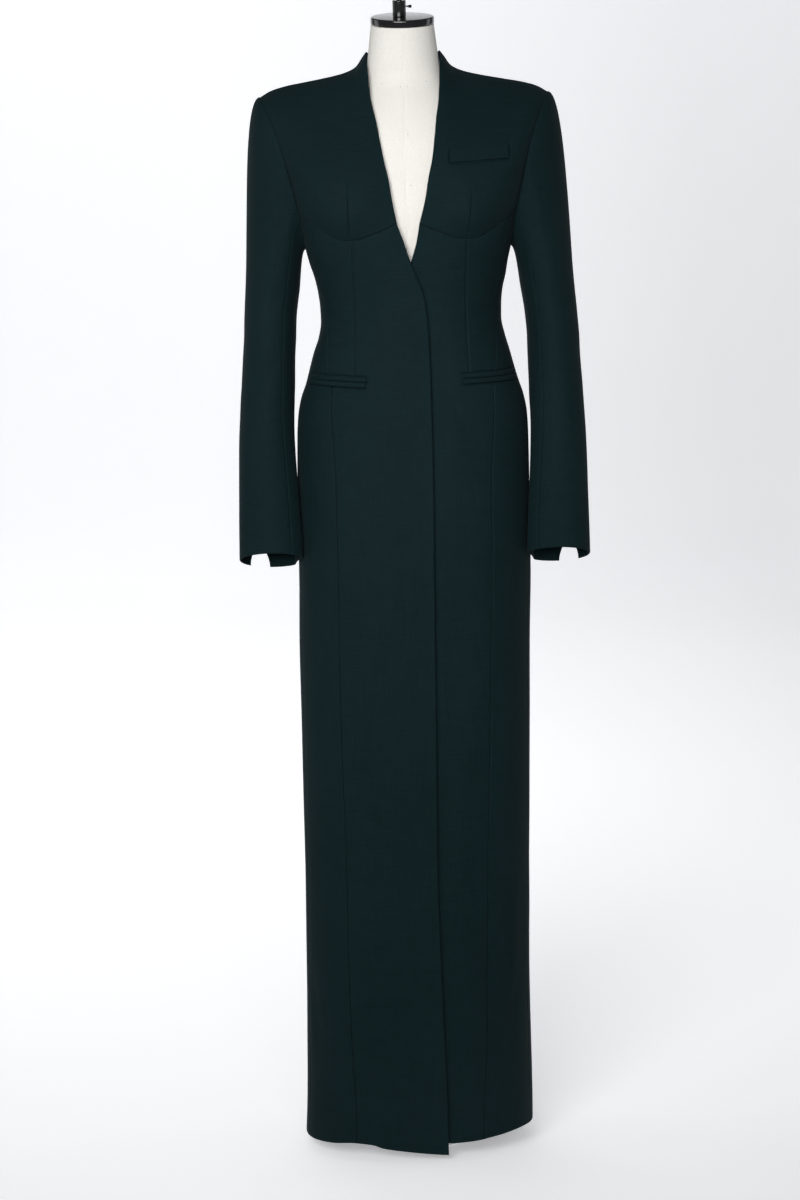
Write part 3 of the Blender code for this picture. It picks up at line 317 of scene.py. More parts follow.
# The armhole by its turn in degrees: 0 is its front, 90 its top. A reach of 0 is the body's own.
ARMHOLE_START = -33.0
ARMHOLE_FRONT_SEAM = 300.0
ARMHOLE_SIDE_SEAM = 250.0
FRONT_ARMHOLE_PARTS = 10
BACK_ARMHOLE_PARTS = 8
UNDERARM_TURNS = (250.0, 262.0, 275.0, 288.0, 300.0)
ARMHOLE_ROWS = [
    (-33.0, 0, -0.06, 1.378), (-20.0, 0.1575, -0.067, 1.4), (0.0, 0.1668, -0.068, 1.44),
    (20.0, 0.1775, -0.059, 1.48), (40.0, 0.188, -0.044, 1.51), (60.0, 0.197, -0.026, 1.532),
    (75.0, 0.202, -0.009, 1.5435), (90.0, 0.205, 0.008, 1.5487), (105.0, 0.2045, 0.023, 1.543),
    (120.0, 0.2, 0.039, 1.527), (140.0, 0.1895, 0.056, 1.497), (160.0, 0.1785, 0.068, 1.462),
    (180.0, 0.169, 0.073, 1.428), (200.0, 0.161, 0.072, 1.396), (220.0, 0.154, 0.06, 1.366),
    (235.0, 0.1495, 0.042, 1.348), (250.0, 0, 0.018, 1.336), (262.0, 0, 0.003, 1.331),
    (275.0, 0, -0.012, 1.331), (288.0, 0, -0.028, 1.336), (300.0, 0, -0.04, 1.345),
    (327.0, 0, -0.06, 1.378),
]
HEM_OVER = Table(
    ("degrees", "z"),
    [
        (-180.0, 0.022), (-120.0, 0.021), (-80.0, 0.02), (-60.0, 0.023), (-45.0, 0.0275), (-35.0, 0.0265),
        (-27.0, 0.0215), (-10.0, 0.017), (17.0, 0.0115),
    ],
)
HEM_UNDER = Table(
    ("degrees", "z"),
    [
        (-15.0, 0.027), (20.0, 0.0265), (42.0, 0.029), (50.0, 0.0315), (70.0, 0.035), (82.0, 0.033),
        (120.0, 0.027), (180.0, 0.022),
    ],
)
SLEEVE = Table(
    ("z", "outer", "inner", "centre_y", "half_depth"),
    [
        (0.85, 0.2536, 0.156, -0.046, 0.04), (0.93, 0.2526, 0.158, -0.036, 0.043),
        (0.99, 0.2515, 0.1615, -0.027, 0.0465), (1.05, 0.2505, 0.166, -0.018, 0.0495),
        (1.11, 0.2475, 0.169, -0.01, 0.0525), (1.16, 0.244, 0.168, -0.005, 0.055),
        (1.23, 0.24, 0.1645, -0.002, 0.058), (1.27, 0.237, 0.159, -0.001, 0.06),
        (1.3, 0.2346, 0.1535, 0.0, 0.062),
    ],
)
# The sleeve: its cap, its rows, the cuff, the vent, and how it keeps clear of the body
CAP_END_Z = 1.270
CAP_STOPS = (0.0, 0.07, 0.17, 0.32, 0.52, 0.76, 1.0)
ARM_STOPS = (0.0, 0.09, 0.18, 0.28, 0.38, 0.48, 0.58, 0.68, 0.78, 0.87, 0.935, 1.0)
CUFF_MIDDLE_Z = {-1: 0.8875, 1: 0.8880}
CUFF_SLANT = 0.0150
SLEEVE_SEAM_TOP = 150.0
SLEEVE_SEAM_CUFF = 154.0
FRONT_SLEEVE_SEAM_CUFF = -37.0
VENT_HALF_ANGLE = 19.0
VENT_START = 0.87
ARM_CLEARANCE = 0.0045
ARM_BLEND = 0.003
ARM_INNER_SIDE = 0.3
VENT_SPREAD = 70.0
SLEEVE_SEAM_PARTS = 3
CAP_LEAN = 0.35
CAP_RISE = 0.12
CAP_DROP = 0.60
CAP_LEAVE = 0.045
CAP_LEAVE_OVER = 0.034
CAP_LEAVE_UNDER = 0.025
CAP_ARRIVE = 0.95
CAP_LOOK_DOWN = 0.02
# Long soft folds in the body panels
FOLDS = [
    # face, x from, z from, x to, z to, width, depth
    (-1, 0.072, 1.080, 0.060, 0.560, 0.019, 0.0030),
    (-1, 0.045, 1.130, 0.098, 1.030, 0.014, 0.0016),
    (-1, 0.105, 0.700, 0.092, 0.180, 0.022, 0.0022),
    (-1, -0.060, 0.900, -0.066, 0.260, 0.024, 0.0020),
    (-1, -0.020, 0.500, -0.012, 0.080, 0.026, 0.0016),
    (-1, -0.086, 1.215, -0.128, 1.185, 0.010, 0.0016),
    (1, 0.050, 1.050, 0.062, 0.200, 0.026, 0.0030),
    (1, -0.056, 1.060, -0.048, 0.300, 0.024, 0.0026),
    (1, -0.110, 0.760, -0.118, 0.120, 0.022, 0.0024),
    (1, 0.112, 0.700, 0.104, 0.100, 0.024, 0.0022),
    (1, 0.030, 1.245, 0.110, 1.215, 0.010, 0.0018),
    (1, -0.028, 1.238, -0.104, 1.222, 0.011, 0.0018),
]
FOLD_END = 0.10
FULL_FOLD_LENGTH = 0.3
FORM = Table(
    ("z", "core", "front", "back", "power", "wing", "wing_power", "centre_y"),
    [
        (0.8, 0.15, 0.094, 0.112, 2.2, 0.0, 8, 0.0), (0.88, 0.154, 0.099, 0.115, 2.2, 0.0, 8, 0.0),
        (0.98, 0.153, 0.101, 0.115, 2.2, 0.0, 8, 0.0), (1.08, 0.144, 0.097, 0.108, 2.2, 0.0, 8, 0.0),
        (1.15, 0.129, 0.09, 0.096, 2.2, 0.0, 8, 0.0), (1.23, 0.118, 0.085, 0.083, 2.2, 0.0, 8, 0.0),
        (1.29, 0.124, 0.09, 0.085, 2.3, 0.0, 8, 0.0), (1.345, 0.132, 0.101, 0.09, 2.5, 0.0, 8, 0.0),
        (1.4, 0.136, 0.106, 0.093, 2.5, 0.0, 8, 0.0), (1.455, 0.136, 0.0965, 0.09, 2.4, 0.006, 8, 0.0),
        (1.495, 0.124, 0.0835, 0.08, 2.2, 0.035, 12, 0.0),
        (1.522, 0.101, 0.073, 0.067, 2.1, 0.072, 20, 0.003),
        (1.544, 0.082, 0.064, 0.054, 2.0, 0.099, 45, 0.006),
        (1.5578, 0.07, 0.058, 0.049, 2.0, 0.096, 90, 0.008),
        (1.5667, 0.064, 0.055, 0.046, 2.0, 0.066, 120, 0.008),
        (1.5732, 0.0595, 0.053, 0.045, 2.0, 0.031, 100, 0.007),
        (1.582, 0.0555, 0.05, 0.046, 2.0, 0.0085, 40, 0.003),
        (1.593, 0.0515, 0.047, 0.048, 2.0, 0.0, 30, -0.003),
        (1.608, 0.0492, 0.0465, 0.046, 2.0, 0.0, 30, -0.006),
        (1.6455, 0.0445, 0.044, 0.044, 2.0, 0.0, 30, -0.0135),
    ],
)
FORM_BEARINGS = (0, 14, 28, 42, 55, 66, 75, 82, 87, 90, 93, 98, 105, 114, 126, 140, 154, 167)
# Pocket lips and breast welt: lower edge from x, z to x, z, then height
HIP_WELTS = {
    "hip_welt_upper_R": (-0.1385, 1.1490, -0.0610, 1.1455, 0.0062),
    "hip_welt_lower_R": (-0.1415, 1.1420, -0.0625, 1.1387, 0.0062),
    "hip_welt_upper_L": (0.0755, 1.1480, 0.1465, 1.1495, 0.0062),
    "hip_welt_lower_L": (0.0755, 1.1410, 0.1490, 1.1425, 0.0062),
}
BREAST_WELT = (0.0625, 1.4490, 0.1440, 1.4545, 0.0205)


def refine(stops, parts):
    """The stops with each span cut into equal parts."""
    cut = [a + (b - a) * i / parts for a, b in zip(stops, stops[1:]) for i in range(parts)]
    return cut + [stops[-1]]


def shares_along(stops):
    """How far along the stops each one lies, from 0 to 1."""
    return [(stop - stops[0]) / (stops[-1] - stops[0]) for stop in stops]


def soft_step(t):
    """0 to 1 with flat ends."""
    t = min(max(t, 0.0), 1.0)
    return t * t * (3 - 2 * t)


def beside_line(x, z, x0, z0, x1, z1):
    """A line's length, and how far along and across it a point of the front or back view lies."""
    length = math.hypot(x1 - x0, z1 - z0)
    along = ((x - x0) * (x1 - x0) + (z - z0) * (z1 - z0)) / length
    across = ((x - x0) * (z1 - z0) - (z - z0) * (x1 - x0)) / length
    return length, along, across


def fold_depth(x, z, face):
    """How far the folds of one face pull the surface in at a point of the front or back view."""
    depth = 0.0
    for fold_face, x0, z0, x1, z1, width, deep in FOLDS:
        if fold_face != face:
            continue
        length, along, across = beside_line(x, z, x0, z0, x1, z1)
        fade = FOLD_END * min(1.0, length / FULL_FOLD_LENGTH)
        ends = soft_step(along / fade) * soft_step((length - along) / fade)
        depth += deep * ends * math.exp(-(across / width) ** 2)
    return depth


def body_point(z, bearing):
    """A point of the coat's body section: bearing 0 is the front, 90 the +X side."""
    turn = math.radians(bearing)
    s, c = math.sin(turn), math.cos(turn)
    depth = BODY("front", z) if c > 0 else BODY("back", z)
    power = BODY("power", z)
    reach = (abs(s / BODY("half_width", z)) ** power + abs(c / depth) ** power) ** (-1 / power)
    x = BODY("centre_x", z) + reach * s
    reach -= fold_depth(x, z, -1 if c > 0 else 1) * abs(c) ** 0.5
    return Vector((BODY("centre_x", z) + reach * s, -reach * c, z))


def body_bearing(z, x):
    """The bearing, in front, of the point of a section at a given x."""
    power = BODY("power", z)
    across = x - BODY("centre_x", z)
    share = min(abs(across / BODY("half_width", z)), 0.9999)
    depth = BODY("front", z) * (1 - share**power) ** (1 / power)
    return math.degrees(math.atan2(across, depth))


def body_reach(y, z):
    """How far the body reaches sideways at a depth and a height."""
    power = BODY("power", z)
    share = min(abs(y) / (BODY("front", z) if y < 0 else BODY("back", z)), 1.0)
    return BODY("half_width", z) * (1 - share**power) ** (1 / power)


ARMHOLE = Table(
    ("degrees", "reach", "y", "z"),
    [(turn, reach or body_reach(y, z), y, z) for turn, reach, y, z in ARMHOLE_ROWS],
)


def armhole_point(side, turn):
    """A point of the armhole seam. Under the arm it lies on the body's own section."""
    y, z = ARMHOLE("y", turn), ARMHOLE("z", turn)
    reach = body_reach(y, z) if turn >= ARMHOLE_SIDE_SEAM else ARMHOLE("reach", turn)
    return Vector((BODY("centre_x", z) + side * reach, y, z))


def front_edge_bearing(side, z):
    edge = LAP_EDGE if side < 0 else UNDER_EDGE
    return body_bearing(z, edge("x", z))


def front_seam_bearing(side, z):
    across = FRONT_SEAM("share", z) * BODY("half_width", z)
    return body_bearing(z, BODY("centre_x", z) + side * across)


def side_seam_bearing(side, z):
    return side * SIDE_SEAM("degrees", z)


def centre_back_bearing(side, z):
    """The same at every height, as the other seams' functions are called."""
    return side * 180.0


def hem_height(side, bearing):
    return (HEM_OVER if side < 0 else HEM_UNDER)("z", bearing)


def tuck_under(point):
    """The front that lies under the other steps in by a wall where it is covered."""
    step = (LAP_EDGE("x", point.z) + LAP_REST + LAP_EASE - point.x) / LAP_EASE
    height = (LAP_TOP_Z - point.z) / LAP_TOP_EASE
    inset = (WALL + LAP_GAP) * soft_step(step) * soft_step(height)
    return point + Vector((0, inset, 0))


def bust_seam_point(side, share):
    """The underbust seam, from the neckline (0) to the armhole (1)."""
    start = NECKLINE("reach", NECKLINE.data[0, 0])
    end = ARMHOLE("reach", ARMHOLE_START)
    reach = start + (end - start) * share
    z = BUST_SEAM("z", reach) if share < 1 else ARMHOLE("z", ARMHOLE_START)
    return body_point(z, body_bearing(z, BODY("centre_x", z) + side * reach))


def panel_rows(tops, left, right, side, parts):
    """Rows of a body panel from the hem up, between two seams that are given as bearings."""

    def bearing_at(z, share):
        start, end = left(side, z), right(side, z)
        return start + (end - start) * share

    columns = []
    for top, share in tops:
        if share is None:
            bearing = math.degrees(math.atan2(top.x - BODY("centre_x", top.z), -top.y))
            start, end = left(side, top.z), right(side, top.z)
            share = (bearing - start) / (end - start)
        hem = hem_height(side, bearing_at(HEM_LEVEL, share))
        heights = refine([hem, *LEVELS, top.z], parts)
        columns.append([body_point(z, bearing_at(z, share)) for z in heights[:-1]] + [top])
    return [list(row) for row in zip(*columns)]


def seam_to_seam(points):
    """Top points of a panel with their shares, left open between the two seams."""
    return [(points[0], 0.0), *((point, None) for point in points[1:-1]), (points[-1], 1.0)]


def lower_front(side, parts):
    """From the front edge to the seam under the pocket, and from the hem to the underbust seam."""
    tops = [bust_seam_point(side, share) for share in refine([0.0, 1.0], FRONT_COLUMNS * parts)]
    rest = refine([ARMHOLE_START + 360, ARMHOLE_FRONT_SEAM], parts)[1:]
    tops += [armhole_point(side, turn) for turn in rest]
    rows = panel_rows(seam_to_seam(tops), front_edge_bearing, front_seam_bearing, side, parts)
    if side > 0:
        rows = [[tuck_under(point) for point in row] for row in rows]
    return rows


def side_panel(side, parts):
    """From the front seam to the side seam, under the arm."""
    tops = [armhole_point(side, turn) for turn in refine(UNDERARM_TURNS[::-1], parts)]
    return panel_rows(seam_to_seam(tops), front_seam_bearing, side_seam_bearing, side, parts)


def shoulder_point(side, share):
    z = SHOULDER("z", share)
    return Vector((BODY("centre_x", z) + side * SHOULDER("reach", share), SHOULDER_Y, z))


def even_curve(points):
    """A function that runs evenly from 0 to 1 along a line of points."""
    lengths = np.cumsum([0.0] + [(b - a).length for a, b in zip(points, points[1:])])
    array = np.array(points)

    def at(share):
        return Vector([float(np.interp(share * lengths[-1], lengths, array[:, k])) for k in range(3)])

    return at


def patch(edges, columns, rows, top_hold, swell):
    """A panel spread between four edge curves, swelled out by a function of its two shares.

    The higher top_hold, the nearer to the top edge its own curve stays.
    """
    bottom, top, left, right = edges
    grid = []
    for v in rows:
        low, high = 1 - v**top_hold, v**top_hold
        row = []
        for u in columns:
            across = bottom(u) * low + top(u) * high
            up = left(v) * (1 - u) + right(v) * u
            bottom_chord = bottom(0) * (1 - u) + bottom(1) * u
            top_chord = top(0) * (1 - u) + top(1) * u
            row.append(across + up - bottom_chord * low - top_chord * high + swell(u, v))
        grid.append(row)
    return grid


def bust_swell(u, v):
    """The cup's fullness: it peaks a little above the underbust seam and fades to the shoulder."""
    rise = (v / BUST_PEAK * math.exp(1 - v / BUST_PEAK)) ** 1.4
    return Vector((0, -BUST_SWELL * math.sin(math.pi * u) ** 1.25 * rise * (1 - v) ** 0.5, 0))


def blade_swell(u, v):
    """The fullness over the shoulder blade."""
    across = math.sin(math.pi * min(u * 1.15, 1.0))
    return Vector((0, BLADE_SWELL * across * math.sin(math.pi * v) ** 1.6, 0))


def neckline_curve(side):
    heights = refine(list(NECKLINE.data[:, 0]), 6)
    return even_curve([
        Vector((NECKLINE("centre_x", z) + side * NECKLINE("reach", z), NECKLINE("y", z), z))
        for z in heights
    ])


def upper_front(side, parts):
    """From the underbust seam to the shoulder, with the raised neckline grown on."""
    turns = refine([ARMHOLE_START, 90.0], FRONT_ARMHOLE_PARTS * parts)
    neckline = neckline_curve(side)
    start = bust_seam_point(side, 0.0)
    shift = start - neckline(0.0)

    def inner_edge(v):
        return neckline(v) + shift * (1 - v)

    edges = (
        lambda u: bust_seam_point(side, u),
        lambda u: shoulder_point(side, u),
        inner_edge,
        lambda v: armhole_point(side, ARMHOLE_START + (90.0 - ARMHOLE_START) * v),
    )
    columns = refine([0.0, 1.0], FRONT_COLUMNS * parts)
    return patch(edges, columns, shares_along(turns), FRONT_TOP_HOLD, bust_swell)


def back_neck_point(side, share):
    """The back panel's top edge: the raised back neck, then the shoulder seam."""
    if share <= NECK_SHARE:
        at = share / NECK_SHARE
        z = BACK_NECKLINE("z", at)
        reach = BACK_NECKLINE("reach", at)
        return Vector((BODY("centre_x", z) + side * reach, BACK_NECKLINE("y", at), z))
    return shoulder_point(side, (share - NECK_SHARE) / (1 - NECK_SHARE))


def back_shares(parts):
    neck = [NECK_SHARE * i / NECK_COLUMNS for i in range(NECK_COLUMNS)]
    shoulder = [NECK_SHARE + (1 - NECK_SHARE) * i / SHOULDER_COLUMNS for i in range(SHOULDER_COLUMNS + 1)]
    return refine(neck + shoulder, parts)


def centre_back_curve():
    heights = refine(list(CENTRE_BACK.data[:, 0]), 6)
    return even_curve([Vector((BODY("centre_x", z), CENTRE_BACK("y", z), z)) for z in heights])


def back(side, parts):
    """From the centre back seam to the side seam, and from the hem to the neck and shoulder."""
    shares = back_shares(parts)

    def yoke_line(share):
        middle = centre_back_bearing(side, BACK_YOKE_LEVEL)
        edge = side_seam_bearing(side, BACK_YOKE_LEVEL)
        return body_point(BACK_YOKE_LEVEL, middle + (edge - middle) * share)

    tops = [(yoke_line(share), share) for share in shares]
    lower = panel_rows(tops, centre_back_bearing, side_seam_bearing, side, parts)
    turns = refine([ARMHOLE_SIDE_SEAM, 90.0], BACK_ARMHOLE_PARTS * parts)
    centre = centre_back_curve()
    shift = yoke_line(0.0) - centre(0.0)
    edges = (
        yoke_line,
        lambda u: back_neck_point(side, u),
        lambda v: centre(v) + shift * (1 - v),
        lambda v: armhole_point(side, ARMHOLE_SIDE_SEAM + (90.0 - ARMHOLE_SIDE_SEAM) * v),
    )
    upper = patch(edges, shares, shares_along(turns), BACK_TOP_HOLD, blade_swell)
    return lower + upper[1:]


def arm_point(side, turn, z):
    """A point of the arm's section, kept clear of the body beside it."""
    outer, inner = SLEEVE("outer", z), SLEEVE("inner", z)
    middle, half = (outer + inner) / 2, (outer - inner) / 2
    angle = math.radians(turn)
    y = SLEEVE("centre_y", z) - SLEEVE("half_depth", z) * math.cos(angle)
    reach = middle + half * math.sin(angle)
    clear = body_reach(y, z) + ARM_CLEARANCE
    if math.sin(angle) < ARM_INNER_SIDE:
        reach = (reach + clear + math.sqrt((reach - clear) ** 2 + ARM_BLEND**2)) / 2
    return Vector((BODY("centre_x", z) + side * reach, y, z))


def cap_point(side, turn, share):
    """A point of the sleeve's cap, on a curve from the armhole seam to the arm's first section."""
    start = armhole_point(side, turn)
    end = arm_point(side, turn, CAP_END_Z)
    below = arm_point(side, turn, CAP_END_Z - CAP_LOOK_DOWN)
    angle = math.radians(turn)
    over, under = max(math.sin(angle), 0), max(-math.sin(angle), 0)
    leave = Vector((side, -CAP_LEAN * math.cos(angle), CAP_RISE * over - CAP_DROP * abs(math.cos(angle))))
    leave *= (CAP_LEAVE + CAP_LEAVE_OVER * over - CAP_LEAVE_UNDER * under) / leave.length
    arrive = (below - end).normalized() * (end - start).length * CAP_ARRIVE
    t = share
    return (start * (2 * t**3 - 3 * t**2 + 1) + leave * (t**3 - 2 * t**2 + t)
            + end * (3 * t**2 - 2 * t**3) + arrive * (t**3 - t**2))


def sleeve_rows(side, stops, cuff_turns, parts, vent_way):
    """Rows of a sleeve piece from the armhole to the cuff. The vent opens towards vent_way."""
    rows = []
    for share in refine(CAP_STOPS, parts)[:-1]:
        rows.append([cap_point(side, turn, share) for turn in stops])
    for share in refine(ARM_STOPS, parts):
        row = []
        for turn, cuff in zip(stops, cuff_turns):
            low_turn = turn + (cuff - turn) * soft_step(share)
            from_vent = abs(cuff - cuff_turns[0 if vent_way > 0 else -1]) / VENT_SPREAD
            open_by = VENT_HALF_ANGLE * soft_step((share - VENT_START) / (1 - VENT_START))
            low_turn += vent_way * open_by * max(1 - from_vent, 0.0)
            hem = CUFF_MIDDLE_Z[side] + CUFF_SLANT * math.cos(math.radians(low_turn))
            z = CAP_END_Z + (hem - CAP_END_Z) * share
            row.append(arm_point(side, low_turn, z))
        rows.append(row)
    return rows


def turns_at_cuff(stops, start, end):
    """The turns at the cuff that the armhole's stops run down to."""
    return [start + (end - start) * share for share in shares_along(stops)]


def upper_sleeve(side, parts):
    """The outer piece of the sleeve, from the front seam over the shoulder to the back seam."""
    stops = refine([ARMHOLE_START, 90.0], FRONT_ARMHOLE_PARTS * parts)
    stops += refine([90.0, SLEEVE_SEAM_TOP], SLEEVE_SEAM_PARTS * parts)[1:]
    cuffs = turns_at_cuff(stops, FRONT_SLEEVE_SEAM_CUFF, SLEEVE_SEAM_CUFF)
    return sleeve_rows(side, stops, cuffs, parts, -1)


def under_sleeve(side, parts):
    """The inner piece of the sleeve, from the back seam under the arm to the front seam."""
    back_parts = (BACK_ARMHOLE_PARTS - SLEEVE_SEAM_PARTS) * parts
    stops = refine([SLEEVE_SEAM_TOP, ARMHOLE_SIDE_SEAM], back_parts)
    stops += refine([*UNDERARM_TURNS, ARMHOLE_START + 360], parts)[1:]
    cuffs = turns_at_cuff(stops, SLEEVE_SEAM_CUFF, FRONT_SLEEVE_SEAM_CUFF + 360)
    return sleeve_rows(side, stops, cuffs, parts, 1)


def grid_normals(grid, inside):
    """The outward normal at each point of a grid, away from a point inside."""
    points = np.array([[tuple(p) for p in row] for row in grid])
    up = np.gradient(points, axis=0)
    across = np.gradient(points, axis=1)
    normals = np.cross(across, up)
    normals /= np.linalg.norm(normals, axis=2, keepdims=True)
    middle = normals.shape[0] // 2, normals.shape[1] // 2
    if np.dot(normals[middle], points[middle] - np.array(inside)) < 0:
        normals = -normals
    return normals


def share_normals(panels):
    """Where panels meet at a seam, each point takes the mean of their normals."""
    sums = {}
    for grid, normals in panels.values():
        for row, normal_row in zip(grid, normals):
            for point, normal in zip(row, normal_row):
                key = tuple(round(c, 4) for c in point)
                sums[key] = sums.get(key, 0) + normal
    for grid, normals in panels.values():
        for i, row in enumerate(grid):
            for j, point in enumerate(row):
                mean = sums[tuple(round(c, 4) for c in point)]
                normals[i, j] = mean / np.linalg.norm(mean)


def find_on_grid(grid, normals, x, z):
    """The point and normal where a line along Y meets a panel, or None beside it."""
    for i in range(len(grid) - 1):
        for j in range(len(grid[0]) - 1):
            cell = ((i, j), (i, j + 1), (i + 1, j + 1), (i + 1, j))
            for corners in ((cell[0], cell[1], cell[2]), (cell[0], cell[2], cell[3])):
                a, b, c = (grid[k][m] for k, m in corners)
                area = (b.x - a.x) * (c.z - a.z) - (c.x - a.x) * (b.z - a.z)
                if abs(area) < 1e-12:
                    continue
                u = ((x - a.x) * (c.z - a.z) - (c.x - a.x) * (z - a.z)) / area
                v = ((b.x - a.x) * (z - a.z) - (x - a.x) * (b.z - a.z)) / area
                if u >= -1e-6 and v >= -1e-6 and u + v <= 1 + 1e-6:
                    weights = (1 - u - v, u, v)
                    point = a * weights[0] + b * weights[1] + c * weights[2]
                    normal = sum((Vector(normals[k, m]) * w for (k, m), w in zip(corners, weights)), Vector())
                    return point, normal.normalized()
    return None


def form_point(z, bearing):
    """A point of the form's section: its core and the wing that carries the shoulder."""
    turn = math.radians(bearing)
    s, c = math.sin(turn), math.cos(turn)
    depth = FORM("front", z) if c > 0 else FORM("back", z)
    power = FORM("power", z)
    reach = (abs(s / FORM("core", z)) ** power + abs(c / depth) ** power) ** (-1 / power)
    reach += FORM("wing", z) * abs(s) ** FORM("wing_power", z)
    return Vector((reach * s, FORM("centre_y", z) - reach * c, z))


# Darts and seams stitched into a panel, as lines of the front or back view
GROOVES = [
    # piece, x from, z from, x to, z to
    ("upper_front_R", -0.0795, 1.3440, -0.0820, 1.3817),
    ("upper_front_R", -0.0820, 1.3817, -0.0806, 1.4200),
    ("upper_front_L", 0.0853, 1.3440, 0.0908, 1.3891),
    ("upper_front_L", 0.0908, 1.3891, 0.0925, 1.4090),
    ("lower_front_R", -0.0771, 1.3450, -0.0771, 1.2182),
    ("lower_front_R", -0.0771, 1.2182, -0.0786, 1.1555),
    ("lower_front_L", 0.0842, 1.3450, 0.0816, 1.2681),
    ("lower_front_L", 0.0816, 1.2681, 0.0822, 1.2149),
    ("lower_front_L", 0.0822, 1.2149, 0.0846, 1.1560),
    ("back_R", -0.0620, 1.1300, -0.0660, 1.2300),
    ("back_R", -0.0660, 1.2300, -0.0720, 1.3600),
    ("back_L", 0.0690, 1.1300, 0.0730, 1.2300),
    ("back_L", 0.0730, 1.2300, 0.0790, 1.3600),
]
GROOVE_DEPTH = 0.0017
GROOVE_WIDTH = 0.0011
POCKET_LINE_DEPTH = 0.0028
POCKET_LINE_WIDTH = 0.0014
UNDERBUST_Z = 1.3447
DART_STOP = 0.006
GROOVE_CUTS = (-0.0030, -0.0016, -0.0007, 0.0, 0.0007, 0.0016, 0.0030)


def pocket_lines():
    """The sunk lines above, between and below the two lips of each hip pocket."""
    lines = []
    for worn in ("R", "L"):
        for lip, rises in LIP_LINE_RISES.items():
            x0, z0, x1, z1, _ = HIP_WELTS[f"hip_welt_{lip}_{worn}"]
            for rise in rises:
                for piece in ("lower_front", "side_panel"):
                    lines.append((f"{piece}_{worn}", x0, z0 + rise, x1, z1 + rise))
    x0, z0, x1, z1, height = BREAST_WELT
    out = BREAST_LINE_OUT
    lines.append(("upper_front_L", x0, z0 - out, x1, z1 - out))
    lines.append(("upper_front_L", x0 - out, z0, x0 - out, z0 + height))
    lines.append(("upper_front_L", x1 + out, z1, x1 + out, z1 + height))
    return lines


STITCHED = GROOVES + pocket_lines()

